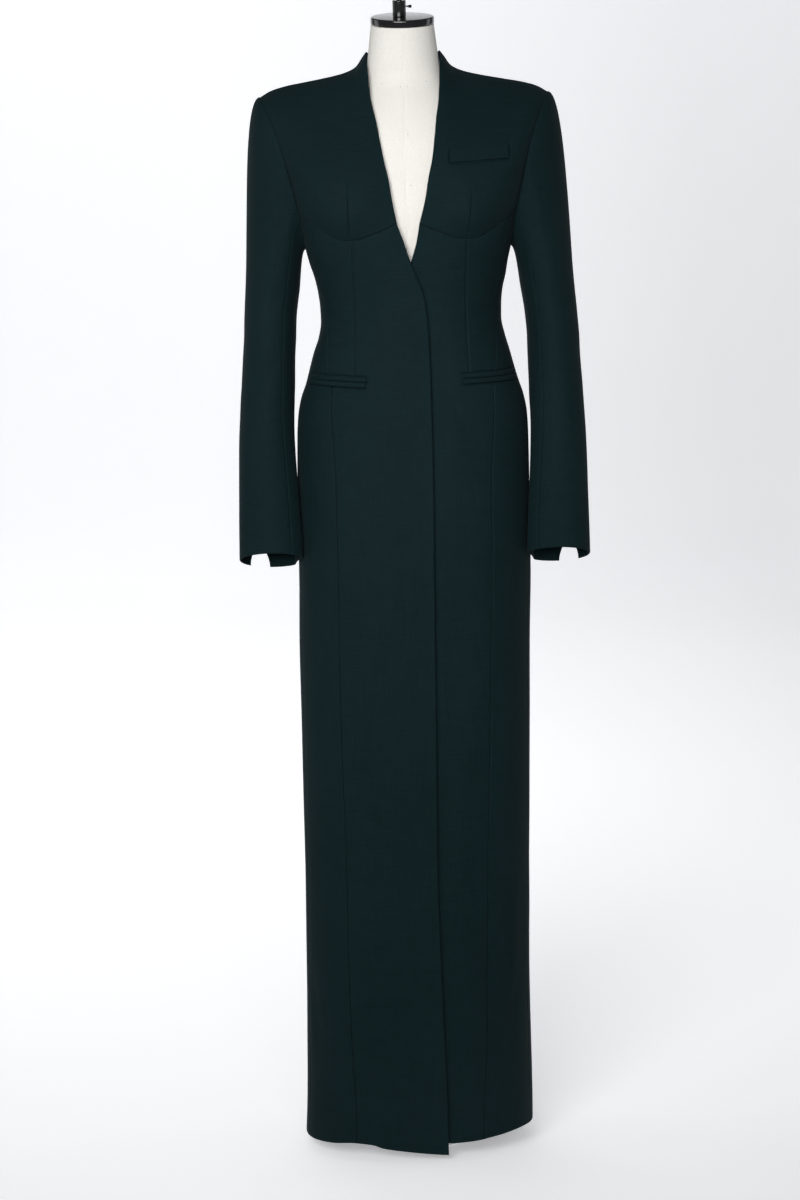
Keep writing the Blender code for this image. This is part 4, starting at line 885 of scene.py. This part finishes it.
# Small creases on the pieces, on the face (-1 front, +1 back) from one end to the other
CREASES = [
    # pieces, face, x from, z from, x to, z to, width, depth
    ("upper_sleeve_L", -1, 0.168, 1.265, 0.188, 1.090, 0.011, 0.0022),
    ("upper_sleeve_L", -1, 0.232, 1.345, 0.214, 1.215, 0.012, 0.0014),
    ("upper_sleeve_L", -1, 0.184, 1.030, 0.236, 0.960, 0.012, 0.0014),
    ("upper_sleeve_L", -1, 0.205, 0.985, 0.210, 0.900, 0.012, 0.0010),
    ("upper_sleeve_R", -1, -0.176, 1.200, -0.226, 1.110, 0.012, 0.0016),
    ("upper_sleeve_R", -1, -0.232, 1.350, -0.206, 1.215, 0.012, 0.0014),
    ("upper_sleeve_R", -1, -0.192, 1.020, -0.236, 0.955, 0.012, 0.0013),
    ("upper_sleeve_R", -1, -0.176, 1.290, -0.196, 1.235, 0.009, 0.0014),
    ("upper_sleeve_L", 1, 0.178, 1.170, 0.243, 1.140, 0.010, 0.0022),
    ("upper_sleeve_L", 1, 0.185, 1.105, 0.246, 1.125, 0.010, 0.0016),
    ("upper_sleeve_L", 1, 0.200, 1.330, 0.232, 1.250, 0.012, 0.0014),
    ("upper_sleeve_R", 1, -0.176, 1.160, -0.243, 1.135, 0.010, 0.0020),
    ("upper_sleeve_R", 1, -0.185, 1.095, -0.246, 1.120, 0.010, 0.0016),
    ("upper_sleeve_R", 1, -0.200, 1.340, -0.234, 1.255, 0.012, 0.0014),
    ("under_sleeve_L", 1, 0.168, 1.160, 0.200, 1.175, 0.009, 0.0018),
    ("under_sleeve_L", 1, 0.172, 1.090, 0.205, 1.100, 0.009, 0.0014),
    ("under_sleeve_R", 1, -0.168, 1.155, -0.200, 1.168, 0.009, 0.0018),
    ("under_sleeve_R", 1, -0.172, 1.085, -0.205, 1.095, 0.009, 0.0014),
    ("upper_front_L", -1, 0.150, 1.505, 0.128, 1.420, 0.014, 0.0018),
    ("upper_front_R", -1, -0.148, 1.500, -0.128, 1.425, 0.014, 0.0014),
    ("upper_front_L", -1, 0.100, 1.450, 0.104, 1.372, 0.010, 0.0012),
    ("upper_front_R", -1, -0.092, 1.430, -0.096, 1.370, 0.010, 0.0008),
    ("lower_front_R", -1, -0.122, 1.238, -0.086, 1.230, 0.007, 0.0011),
    ("lower_front_R", -1, -0.106, 1.322, -0.128, 1.262, 0.010, 0.0012),
    ("lower_front_R", -1, -0.125, 1.105, -0.108, 1.062, 0.006, 0.0011),
    ("lower_front_L", -1, 0.090, 1.232, 0.126, 1.242, 0.007, 0.0012),
    ("lower_front_L", -1, 0.112, 1.325, 0.132, 1.262, 0.010, 0.0012),
    ("lower_front_L", -1, 0.050, 1.120, 0.108, 1.036, 0.010, 0.0012),
    ("lower_front_R", -1, -0.110, 0.085, -0.066, 0.066, 0.012, 0.0014),
    ("lower_front_R", -1, -0.040, 0.110, -0.028, 0.040, 0.012, 0.0010),
    ("lower_front_L", -1, 0.052, 0.090, 0.090, 0.062, 0.012, 0.0012),
    ("lower_front_L", -1, 0.080, 0.520, 0.072, 0.280, 0.014, 0.0010),
    ("lower_front_R", -1, -0.100, 0.420, -0.094, 0.180, 0.014, 0.0010),
    ("side_panel_R", -1, -0.161, 0.300, -0.153, 0.140, 0.006, 0.0022),
    ("side_panel_L", -1, 0.141, 0.280, 0.127, 0.170, 0.006, 0.0020),
    ("side_panel_L", -1, 0.150, 0.420, 0.146, 0.200, 0.007, 0.0016),
    ("lower_front_R", -1, -0.098, 0.132, -0.062, 0.084, 0.010, 0.0014),
    ("back_R", 1, -0.030, 1.262, -0.112, 1.244, 0.009, 0.0016),
    ("back_L", 1, 0.028, 1.256, 0.112, 1.248, 0.009, 0.0016),
    ("back_R", 1, -0.060, 1.212, -0.124, 1.196, 0.009, 0.0012),
    ("back_L", 1, 0.052, 1.208, 0.122, 1.200, 0.009, 0.0012),
    ("back_R", 1, -0.150, 1.500, -0.118, 1.400, 0.015, 0.0020),
    ("back_L", 1, 0.150, 1.505, 0.120, 1.395, 0.015, 0.0020),
    ("back_R", 1, -0.090, 0.095, -0.060, 0.060, 0.013, 0.0014),
    ("back_L", 1, 0.084, 0.100, 0.100, 0.050, 0.013, 0.0014),
    ("back_L", 1, 0.020, 0.760, 0.030, 0.330, 0.018, 0.0014),
    ("back_R", 1, -0.086, 0.560, -0.078, 0.180, 0.018, 0.0014),
]

# How the coat's pieces hang: each with what it rests on or is sewn to
HANGS_FROM = {
    "upper_front": "form_canvas_torso",
    "back": "form_canvas_torso",
    "lower_front": "upper_front",
    "side_panel": "back",
    "upper_sleeve": "upper_front",
    "under_sleeve": "upper_sleeve",
}

# Small basting marks on the form's canvas, seen in the neckline: x and z of the front view
CANVAS_MARKS = [
    (-0.0304, 1.562), (-0.0045, 1.5564), (0.005, 1.5569), (0.0323, 1.5639), (0.0044, 1.4902),
    (0.0069, 1.4191), (0.0055, 1.3204),
]


def in_scene(name, mesh, finish):
    """A new object in the scene, with one material."""
    made = bpy.data.objects.new(name, mesh)
    bpy.context.scene.collection.objects.link(made)
    made.data.materials.append(finish)
    return made


def smooth_mesh(name, bm):
    """The finished mesh of an edit mesh, which is freed."""
    mesh = bpy.data.meshes.new(name)
    bm.to_mesh(mesh)
    bm.free()
    mesh.shade_smooth()
    return mesh


def skin_rows(bm, rows):
    """Faces between rows of points."""
    for low, high in zip(rows, rows[1:]):
        for j in range(len(low) - 1):
            bm.faces.new((low[j], low[j + 1], high[j + 1], high[j]))


def skin_rings(bm, rings):
    """Faces between closed rings of points, and one over each end."""
    skin_rows(bm, [[*ring, ring[0]] for ring in rings])
    bm.faces.new(list(reversed(rings[0])))
    bm.faces.new(rings[-1])


def thicken(piece, thickness, offset):
    """Gives a sheet its wall, behind it (-1) or in front of it (1)."""
    wall = piece.modifiers.new("thickness", "SOLIDIFY")
    wall.thickness = thickness
    wall.offset = offset


def make_camera():
    """The camera at the photo's place."""
    data = bpy.data.cameras.new("camera")
    data.sensor_fit = "VERTICAL"
    data.sensor_height = CAMERA_SENSOR
    data.lens = CAMERA_LENS
    camera = bpy.data.objects.new("camera", data)
    pitch = Euler((math.radians(90.0 + CAMERA_PITCH), 0, 0)).to_matrix()
    roll = Euler((0, 0, math.radians(CAMERA_ROLL))).to_matrix()
    camera.matrix_world = Matrix.Translation(CAMERA_PLACE) @ (pitch @ roll).to_4x4()
    bpy.context.scene.collection.objects.link(camera)
    bpy.context.scene.camera = camera


class Nodes:
    """A new material and short ways to add and join its nodes."""

    def __init__(self, name):
        self.material = bpy.data.materials.new(name)
        self.material.use_nodes = True
        self.tree = self.material.node_tree
        self.shader = self.tree.nodes["Principled BSDF"]
        self.place = self.add("ShaderNodeTexCoord").outputs["Object"]

    def add(self, kind, sockets=None, **settings):
        made = self.tree.nodes.new(kind)
        for key, value in settings.items():
            setattr(made, key, value)
        for key, value in (sockets or {}).items():
            if isinstance(value, bpy.types.NodeSocket):
                self.tree.links.new(value, made.inputs[key])
            else:
                made.inputs[key].default_value = value
        return made

    def stretched(self, scale):
        return self.add("ShaderNodeMapping", {"Vector": self.place, "Scale": scale}).outputs["Vector"]

    def noise(self, scale, detail=3.0, roughness=0.55):
        sockets = {"Vector": self.stretched(scale), "Scale": 1.0, "Detail": detail, "Roughness": roughness}
        return self.add("ShaderNodeTexNoise", sockets).outputs["Fac"]

    def maths(self, operation, a, b=0.0):
        return self.add("ShaderNodeMath", {0: a, 1: b}, operation=operation).outputs[0]

    def ranged(self, value, low, high, to_low, to_high):
        sockets = {"Value": value, "From Min": low, "From Max": high, "To Min": to_low, "To Max": to_high}
        return self.add("ShaderNodeMapRange", sockets).outputs["Result"]

    def mixed(self, share, a, b):
        made = self.add("ShaderNodeMix", {0: share, 6: (*a, 1.0), 7: (*b, 1.0)}, data_type="RGBA")
        return made.outputs[2]

    def bump(self, height, strength, distance, under=None):
        sockets = {"Height": height, "Strength": strength, "Distance": distance}
        if under:
            sockets["Normal"] = under
        return self.add("ShaderNodeBump", sockets).outputs["Normal"]

    def threads(self, pitch):
        """Crossing threads, as heights: one way along X and Y together, the other along Z."""
        parts = self.add("ShaderNodeSeparateXYZ", {"Vector": self.place}).outputs
        turns = 2 * math.pi / pitch
        across = self.maths("ADD", parts["X"], parts["Y"])
        one = self.maths("SINE", self.maths("MULTIPLY", across, turns))
        other = self.maths("SINE", self.maths("MULTIPLY", parts["Z"], turns))
        return self.maths("MULTIPLY", one, other)

    def set(self, **sockets):
        for key, value in sockets.items():
            socket = self.shader.inputs[key.replace("_", " ")]
            if isinstance(value, bpy.types.NodeSocket):
                self.tree.links.new(value, socket)
            else:
                socket.default_value = value
        return self.material


def coat_material():
    """Dry, nearly black blue-green wool: fine threads, thick ones here and there, and a faint blue lustre."""
    m = Nodes("coat_wool")
    weft = m.noise((34.0, 34.0, 1000.0), 3.0, 0.6)
    warp = m.noise((900.0, 900.0, 26.0), 3.0, 0.6)
    cloud = m.noise((7.0, 7.0, 5.0), 2.0, 0.5)
    slub = m.maths("ADD", m.maths("MULTIPLY", weft, 0.5), m.maths("MULTIPLY", warp, 0.5))
    shade = m.maths("ADD", m.maths("MULTIPLY", slub, 0.8), m.maths("MULTIPLY", cloud, 0.2))
    colour = m.mixed(m.ranged(shade, 0.34, 0.66, 0.0, 1.0), COAT_DARK, COAT_LIGHT)
    rough = m.ranged(slub, 0.35, 0.65, 0.66, 0.82)
    normal = m.bump(m.threads(0.0011), 0.10, 0.0002)
    normal = m.bump(slub, 0.16, 0.0003, normal)
    return m.set(
        Base_Color=colour, Roughness=rough, Normal=normal, Specular_IOR_Level=0.03,
        Sheen_Weight=0.02, Sheen_Roughness=0.45, Sheen_Tint=(0.70, 0.86, 1.0, 1.0),
    )


def canvas_material():
    """The form's unbleached cotton canvas."""
    m = Nodes("form_canvas")
    grain = m.noise((700.0, 700.0, 240.0), 2.0, 0.5)
    cloud = m.noise((9.0, 9.0, 6.0), 2.0, 0.5)
    shade = m.maths("ADD", m.maths("MULTIPLY", grain, 0.5), m.maths("MULTIPLY", cloud, 0.5))
    share = m.ranged(shade, 0.38, 0.62, 0.0, 1.0)
    colour = m.mixed(share, (0.665, 0.652, 0.612), (0.725, 0.714, 0.676))
    normal = m.bump(m.threads(0.0008), 0.16, 0.0002)
    normal = m.bump(grain, 0.15, 0.0004, normal)
    return m.set(Base_Color=colour, Roughness=0.82, Normal=normal, Specular_IOR_Level=0.25)


def gloss_material(name, colour, low, high):
    """Smooth black finish with faint wipe marks and a little dust."""
    m = Nodes(name)
    wipes = m.noise((60.0, 60.0, 18.0), 3.0, 0.6)
    dust = m.noise((900.0, 900.0, 900.0), 2.0, 0.5)
    light = tuple(c * 1.8 + 0.004 for c in colour)
    tone = m.mixed(m.ranged(dust, 0.62, 0.80, 0.0, 1.0), colour, light)
    rough = m.ranged(wipes, 0.35, 0.65, low, high)
    normal = m.bump(wipes, 0.05, 0.0004)
    return m.set(Base_Color=tone, Roughness=rough, Normal=normal, Specular_IOR_Level=0.5, Coat_Weight=0.3)


def paint_material():
    """Powder coat on the hidden stand."""
    m = Nodes("stand_paint")
    peel = m.noise((420.0, 420.0, 420.0), 2.0, 0.5)
    cloud = m.noise((12.0, 12.0, 12.0), 2.0, 0.5)
    tone = m.mixed(m.ranged(cloud, 0.4, 0.6, 0.0, 1.0), (0.84, 0.84, 0.83), (0.88, 0.88, 0.87))
    rough = m.ranged(peel, 0.4, 0.6, 0.42, 0.52)
    return m.set(Base_Color=tone, Roughness=rough, Normal=m.bump(peel, 0.1, 0.0003))


def mark_material():
    m = Nodes("canvas_mark")
    grain = m.noise((900.0, 900.0, 900.0), 2.0, 0.5)
    tone = m.mixed(m.ranged(grain, 0.4, 0.6, 0.0, 1.0), (0.16, 0.14, 0.12), (0.30, 0.27, 0.24))
    return m.set(Base_Color=tone, Roughness=0.8)


def backdrop_material():
    """White paper that glows as painted light: from just in front of the object backwards and a little more
    on the far wall, with painted shade growing towards +X.
    """
    m = Nodes("paper_backdrop")
    cloud = m.noise((0.6, 0.6, 0.6), 1.0, 0.4)
    tone = m.mixed(m.ranged(cloud, 0.4, 0.6, 0.0, 1.0), (0.920, 0.925, 0.935), (0.935, 0.940, 0.950))
    parts = m.add("ShaderNodeSeparateXYZ", {"Vector": m.place}).outputs
    # Painted light: emission by place on the paper, stronger behind the object's front and on the far wall,
    # and dimmed towards +X as painted shade.
    near = m.ranged(parts["Y"], -0.8, -0.3, 0.0, FLOOR_GLOW)
    far = m.ranged(parts["Y"], 1.2, 4.2, 0.0, WALL_GLOW)
    across = m.ranged(parts["X"], -0.8, 1.3, 1.0, 0.66)
    return m.set(
        Base_Color=tone, Roughness=0.95, Specular_IOR_Level=0.1,
        Emission_Color=(0.97, 0.98, 1.0, 1.0),
        Emission_Strength=m.maths("MULTIPLY", across, m.maths("ADD", near, far)),
    )


def make_stage():
    """A pale paper sweep: a floor that curves up behind the object with no line."""
    profile = [(-7.0, 0.0)]
    for a in range(0, 91, 5):
        turn = math.radians(a)
        profile.append((SWEEP_START + SWEEP_RADIUS * math.sin(turn), SWEEP_RADIUS * (1 - math.cos(turn))))
    profile += [(SWEEP_START + SWEEP_RADIUS, 6.0)]
    bm = bmesh.new()
    sides = [[bm.verts.new((x, y, z)) for y, z in profile] for x in (-SWEEP_HALF_WIDTH, SWEEP_HALF_WIDTH)]
    for k in range(len(profile) - 1):
        bm.faces.new((sides[0][k], sides[1][k], sides[1][k + 1], sides[0][k + 1]))
    mesh = smooth_mesh("paper_sweep", bm)
    in_scene("paper_sweep", mesh, backdrop_material())


def make_lights():
    for name, x, y, z, aim_x, aim_y, aim_z, width, height, spread, watts, *colour in LIGHTS:
        data = bpy.data.lights.new(name, "AREA")
        data.shape = "RECTANGLE"
        data.size = width
        data.size_y = height
        data.spread = math.radians(spread)
        data.energy = watts
        data.color = colour
        light = bpy.data.objects.new(name, data)
        place = Vector((x, y, z))
        towards = Vector((aim_x, aim_y, aim_z)) - place
        light.location = place
        light.visible_camera = False
        light.rotation_euler = towards.to_track_quat("-Z", "Y").to_euler()
        bpy.context.scene.collection.objects.link(light)
    world = bpy.data.worlds.new("studio")
    world.use_nodes = True
    background = world.node_tree.nodes["Background"]
    background.inputs["Color"].default_value = (0.97, 0.985, 1.0, 1.0)
    background.inputs["Strength"].default_value = WORLD_STRENGTH
    bpy.context.scene.world = world
    bpy.context.scene.view_settings.view_transform = "Standard"


def beside_edges(line):
    """A line of points with close ones added beside both ends."""
    first, last = line[1] - line[0], line[-2] - line[-1]
    steps = [(d, EDGE_STEP_SHARE * (k + 1)) for k, d in enumerate(EDGE_STEPS[1:])]
    near = [line[0] + first * min(d / first.length, most) for d, most in steps]
    far = [line[-1] + last * min(d / last.length, most) for d, most in steps]
    return [line[0], *near, *line[1:-1], *reversed(far), line[-1]]


def with_edge_loops(grid):
    rows = [beside_edges(row) for row in grid]
    columns = [beside_edges(list(column)) for column in zip(*rows)]
    return [list(row) for row in zip(*columns)]


def edge_sink(place, count):
    """How far a point sinks for its place in a row or column of so many."""
    from_edge = min(place, count - 1 - place)
    return EDGE_SINKS[from_edge] if from_edge < len(EDGE_SINKS) else 0.0


def lap_depth(name, point):
    """The lapped front edge stands a little proud, over a soft valley in the front below it."""
    past = point.x - LAP_EDGE("x", point.z)
    if name == "lower_front_R":
        return -LAP_PROUD * math.exp(-(past / LAP_PROUD_WIDTH) ** 2)
    if name == "lower_front_L":
        return LAP_VALLEY * math.exp(-((past - LAP_VALLEY_SHIFT) / LAP_VALLEY_WIDTH) ** 2)
    return 0.0


def crease_depth(name, point, normal, from_seam):
    """How far the creases of a piece and its faint unevenness pull a point in."""
    depth = FAINT_DEPTH * noise.noise(point * FAINT_PITCH) + FINE_DEPTH * noise.noise(point * FINE_PITCH)
    drape = Vector((point.x * DRAPE_ACROSS, point.y * DRAPE_ACROSS, point.z * DRAPE_DOWN))
    depth += DRAPE_DEPTH * noise.noise(drape)
    inner = soft_step(from_seam / SEAM_STILL)
    for piece, face, x0, z0, x1, z1, width, deep in CREASES:
        if piece != name or normal.y * face < 0.0:
            continue
        length, along, across = beside_line(point.x, point.z, x0, z0, x1, z1)
        if along < 0.0 or along > length:
            continue
        seed = Vector((along * CREASE_WANDER_ALONG, x0 * CREASE_WANDER_SEED, z0 * CREASE_WANDER_SEED))
        across += CREASE_WANDER * width * noise.noise(seed)
        fade = CREASE_FADE * length
        ends = soft_step(along / fade) * soft_step((length - along) / fade)
        trough = math.exp(-(across / width) ** 2)
        ridge = math.exp(-((across - RIDGE_PLACE * width) / width) ** 2)
        depth += deep * inner * ends * abs(normal.y) ** 0.5 * (trough - RIDGE_SHARE * ridge)
    return depth


def groove_depth(name, point, normal):
    """How far the stitched lines of a piece pull a point in."""
    depth = 0.0
    for k, (piece, x0, z0, x1, z1) in enumerate(STITCHED):
        face = 1 if piece.startswith("back") else -1
        if piece != name or normal.y * face < 0.0:
            continue
        deep, wide = GROOVE_DEPTH, GROOVE_WIDTH
        if k >= len(GROOVES):
            deep, wide = POCKET_LINE_DEPTH, POCKET_LINE_WIDTH
        elif face < 0:
            deep *= soft_step(abs(point.z - UNDERBUST_Z) / DART_STOP)
        length, along, across = beside_line(point.x, point.z, x0, z0, x1, z1)
        if along < -GROOVE_SLACK or along > length + GROOVE_SLACK:
            continue
        depth = max(depth, deep * math.exp(-(across / wide) ** 2))
    return depth


def cut_grooves(name, bm):
    """Cuts the mesh along each stitched line, so that the groove has points of its own."""
    for piece, x0, z0, x1, z1 in STITCHED:
        if piece != name:
            continue
        across = Vector((z1 - z0, 0, x0 - x1)).normalized()
        low, high = min(z0, z1) - CUT_MARGIN_Z, max(z0, z1) + CUT_MARGIN_Z
        reach = abs(x1 - x0) + CUT_MARGIN_X
        middle = (x0 + x1) / 2
        for shift in GROOVE_CUTS:
            faces = [
                f for f in bm.faces
                if low < f.calc_center_median().z < high and abs(f.calc_center_median().x - middle) < reach
            ]
            edges = {e for f in faces for e in f.edges}
            verts = {v for f in faces for v in f.verts}
            bmesh.ops.bisect_plane(
                bm, geom=[*verts, *edges, *faces],
                plane_co=Vector((x0, 0, z0)) + across * shift, plane_no=across,
            )


def add_sheet(name, grid, normals, finish):
    """A thin cloth shell through the points of a panel, with its creases and seam turns."""
    rows, columns = len(grid), len(grid[0])
    bm = bmesh.new()
    verts = []
    for i in range(rows):
        line = []
        for j in range(columns):
            sink = max(edge_sink(i, rows), edge_sink(j, columns))
            if grid[i][j].z > SHOULDER_POINT_Z and abs(grid[i][j].x) > SHOULDER_POINT_X:
                sink *= SHOULDER_SINK_SHARE
            from_seam = min((grid[i][j] - grid[i][0]).length, (grid[i][j] - grid[i][-1]).length)
            sink += crease_depth(name, grid[i][j], Vector(normals[i, j]), from_seam)
            sink += lap_depth(name, grid[i][j])
            line.append(bm.verts.new(grid[i][j] - Vector(normals[i, j]) * sink))
        verts.append(line)
    skin_rows(bm, verts)
    middle = verts[rows // 2][columns // 2]
    middle.normal_update()
    bm.normal_update()
    if middle.normal.dot(Vector(normals[rows // 2, columns // 2])) < 0:
        bmesh.ops.reverse_faces(bm, faces=bm.faces)
    cut_grooves(name, bm)
    bm.normal_update()
    moves = [(v, v.normal * groove_depth(name, v.co, v.normal)) for v in bm.verts]
    for vertex, move in moves:
        vertex.co -= move
    mesh = smooth_mesh(name, bm)
    made = in_scene(f"cloth_{name}", mesh, finish)
    thicken(made, SHEET_WALL, -1.0)
    return made


def make_coat():
    makers = {
        "lower_front": lower_front,
        "upper_front": upper_front,
        "side_panel": side_panel,
        "back": back,
        "upper_sleeve": upper_sleeve,
        "under_sleeve": under_sleeve,
    }
    cloth = coat_material()
    panels = {}
    for side, worn in ((-1, "R"), (1, "L")):
        for kind, maker in makers.items():
            grid = with_edge_loops(maker(side, PARTS))
            inside = (side * 0.20, -0.01, 1.10) if "sleeve" in kind else (0.0, 0.0, 1.20)
            panels[f"{kind}_{worn}"] = (grid, grid_normals(grid, inside))
    share_normals(panels)
    pieces = {}
    for name, (grid, normals) in panels.items():
        pieces[name] = add_sheet(name, grid, normals, cloth)
    for name, corners in HIP_WELTS.items():
        worn = name[-1]
        under = [panels[f"lower_front_{worn}"], panels[f"side_panel_{worn}"]]
        pieces[name] = add_welt(name, corners, under, cloth)
    pieces["breast_welt"] = add_welt("breast_welt", BREAST_WELT, [panels["upper_front_L"]], cloth)
    for name, piece in pieces.items():
        kind, worn = name.rsplit("_", 1)
        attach(piece, "root")
        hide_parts(*[f"{part}_{worn}" for part in PANEL_LENGTHS.get(kind, (kind,))])
    return pieces


def add_welt(name, corners, panels, finish):
    """A flat strip laid on the panels, with softened edges."""
    x0, z0, x1, z1, height = corners
    tall_parts = max(6, round(height / WELT_ROW_HEIGHT))
    low_trim = SLIT_TRIM if "upper" in name else 0.0
    high_trim = SLIT_TRIM if "lower" in name else 0.0
    bm = bmesh.new()
    rows = []
    for k in range(tall_parts + 1):
        row = []
        for j in range(WELT_PARTS + 1):
            share = j / WELT_PARTS
            x = x0 + (x1 - x0) * share
            z = z0 + (z1 - z0) * share + low_trim + (height - low_trim - high_trim) * k / tall_parts
            found = None
            for grid, normals in panels:
                found = found or find_on_grid(grid, normals, x, z)
            point, normal = found
            swell = WELT_SWELL * min(1.0, LIP_HEIGHT / height) * (1 - (2 * k / tall_parts - 1) ** 2)
            row.append(bm.verts.new(point + normal * (WELT_LIFT + swell)))
        rows.append(row)
    skin_rows(bm, rows)
    mesh = smooth_mesh(name, bm)
    made = in_scene(f"cloth_{name}", mesh, finish)
    thicken(made, WELT_THICKNESS, 1.0)
    soft = made.modifiers.new("soft_edge", "BEVEL")
    soft.width = WELT_ROUND
    soft.segments = 3
    soft.limit_method = "ANGLE"
    soft.angle_limit = math.radians(50)
    return made


def declare_sheets():
    """Goes through each panel's cut and works out the piece that holds it; nothing is kept."""
    for panel, width, length, area in CUT_SIZES:
        kind, worn = panel[:-2], panel[-1]
        holder = HANGS_FROM[kind]
        if holder != "form_canvas_torso":
            holder = f"cloth_{holder}_{worn}"


def form_bearings():
    """The form's own bearings, finer, with close ones beside the centre seams."""
    half = refine(list(FORM_BEARINGS) + [180], FORM_PARTS)
    close = [0.3, 0.7, 1.3, 178.7, 179.3, 179.7]
    half = sorted(set(half + close))
    return half + [360 - b for b in reversed(half[1:-1])]


def make_form(finish):
    """The limbless torso and its neck, smooth, with a fine seam at the centre front and back."""
    bearings = form_bearings()
    heights = refine(list(FORM.data[:, 0]), FORM_PARTS)
    bm = bmesh.new()
    rings = []
    for z in heights:
        ring = []
        for b in bearings:
            off = min(b % 180, 180 - b % 180)
            inwards = Vector((-math.sin(math.radians(b)), math.cos(math.radians(b)), 0))
            dip = FORM_SEAM_DEPTH * math.exp(-(off / FORM_SEAM_HALF_ANGLE) ** 2)
            ring.append(bm.verts.new(form_point(z, b) + inwards * dip))
        rings.append(ring)
    top_span = NECK_TOP_Z - FORM.data[-2, 0]
    for ring, z in zip(rings, heights):
        lean = soft_step((z - FORM.data[-2, 0]) / top_span) * math.tan(NECK_TILT)
        for vertex in ring:
            vertex.co.z += (vertex.co.y - NECK_TOP_Y) * lean
    skin_rings(bm, rings)
    bmesh.ops.recalc_face_normals(bm, faces=bm.faces)
    mesh = smooth_mesh("form_canvas_torso", bm)
    mesh.set_sharp_from_angle(angle=FORM_SHARP_ANGLE)
    torso = in_scene("form_canvas_torso", mesh, finish)
    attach(torso, "root")
    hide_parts("form_torso")
    return torso


def make_marks(finish):
    """Tiny marks pressed into the canvas."""
    bm = bmesh.new()
    for x, z in CANVAS_MARKS:
        bearing = 0.0
        for _ in range(12):
            point = form_point(z, bearing)
            bearing += math.degrees((x - point.x) / max(abs(point.y), 0.03))
        place = Matrix.Translation(point) @ Matrix.Diagonal((1.0, 0.35, 1.0, 1.0))
        bmesh.ops.create_icosphere(bm, subdivisions=2, radius=MARK_RADIUS, matrix=place)
    mesh = smooth_mesh("canvas_marks", bm)
    marks = in_scene("canvas_marks", mesh, finish)
    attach(marks, "root")


def lathe(name, profile, finish, turns=LATHE_TURNS):
    """A turned piece from (radius, height) pairs, on its own axis."""
    bm = bmesh.new()
    rings = []
    for radius, height in profile:
        ring = []
        for k in range(turns):
            a = 2 * math.pi * k / turns
            ring.append(bm.verts.new((radius * math.cos(a), radius * math.sin(a), height)))
        rings.append(ring)
    skin_rings(bm, rings)
    mesh = smooth_mesh(name, bm)
    mesh.set_sharp_from_angle(angle=LATHE_SHARP_ANGLE)
    return in_scene(name, mesh, finish)


def round_bar(radius, height, rim):
    """The profile of a bar with rounded rims."""
    steps = [math.radians(a) for a in range(0, 91, 15)]
    low = [(radius - rim + rim * math.sin(a), rim - rim * math.cos(a)) for a in steps]
    high = [(radius - rim + rim * math.cos(a), height - rim + rim * math.sin(a)) for a in steps]
    return low + high


def make_neck_fittings(cap_finish, metal_finish):
    """The cap on the neck, and the socket, set screw and rod on it, all on the neck's tilted axis."""
    axis = Matrix.Translation((0.0, NECK_TOP_Y, NECK_TOP_Z)) @ Matrix.Rotation(NECK_TILT, 4, "X")
    socket_base = CAP_HEIGHT + 2 * TOUCH_GAP
    rod_base = socket_base + SOCKET_HEIGHT + TOUCH_GAP
    screw_x = SOCKET_X + SOCKET_RADIUS + TOUCH_GAP
    screw_base = Matrix.Translation((screw_x, 0, socket_base + SOCKET_HEIGHT * 0.6))
    knurl = [(SCREW_RADIUS * (1.0 if k % 2 else 0.93), SCREW_LENGTH * (0.42 + 0.045 * k)) for k in range(12)]
    shank, shoulder = SCREW_RADIUS * 0.55, SCREW_RADIUS * 0.9
    screw = [(shank, 0.0), (shank, SCREW_LENGTH * 0.36), (shoulder, SCREW_LENGTH * 0.38)]
    parts = [
        ("black_neck_cap", "neck_cap", "cap_black",
         round_bar(CAP_RADIUS, CAP_HEIGHT, CAP_RIM), cap_finish,
         Matrix.Translation((0, 0, TOUCH_GAP))),
        ("black_rod_socket", "rod_socket", "black_enamel",
         round_bar(SOCKET_RADIUS, SOCKET_HEIGHT, METAL_RIM), metal_finish,
         Matrix.Translation((SOCKET_X, 0, socket_base))),
        ("black_rod_stub", "rod_stub", "black_enamel",
         round_bar(ROD_RADIUS, ROD_LENGTH, METAL_RIM), metal_finish,
         Matrix.Translation((SOCKET_X, 0, rod_base))),
        ("black_set_screw", "set_screw", "black_enamel", screw + knurl, metal_finish,
         screw_base @ Matrix.Rotation(math.pi / 2, 4, "Y")),
    ]
    for name, node, slot, profile, finish, place in parts:
        piece = lathe(name, profile, finish)
        piece.data.transform(axis @ place)
        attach(piece, "root")
        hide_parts(node)


def finish_stand():
    """The hidden pole and base plate keep their solids and take the painted finish."""
    paint = paint_material()
    for name in ("stand_pole", "base_plate"):
        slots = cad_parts[name].material_slots
        for held in slots:
            held.material = paint


make_camera()
make_stage()
make_lights()
coat = make_coat()
make_form(canvas_material())
make_marks(mark_material())
make_neck_fittings(
    gloss_material("cap_black", (0.006, 0.006, 0.007), 0.06, 0.14),
    gloss_material("black_enamel", (0.007, 0.008, 0.008), 0.08, 0.18),
)
finish_stand()
declare_sheets()
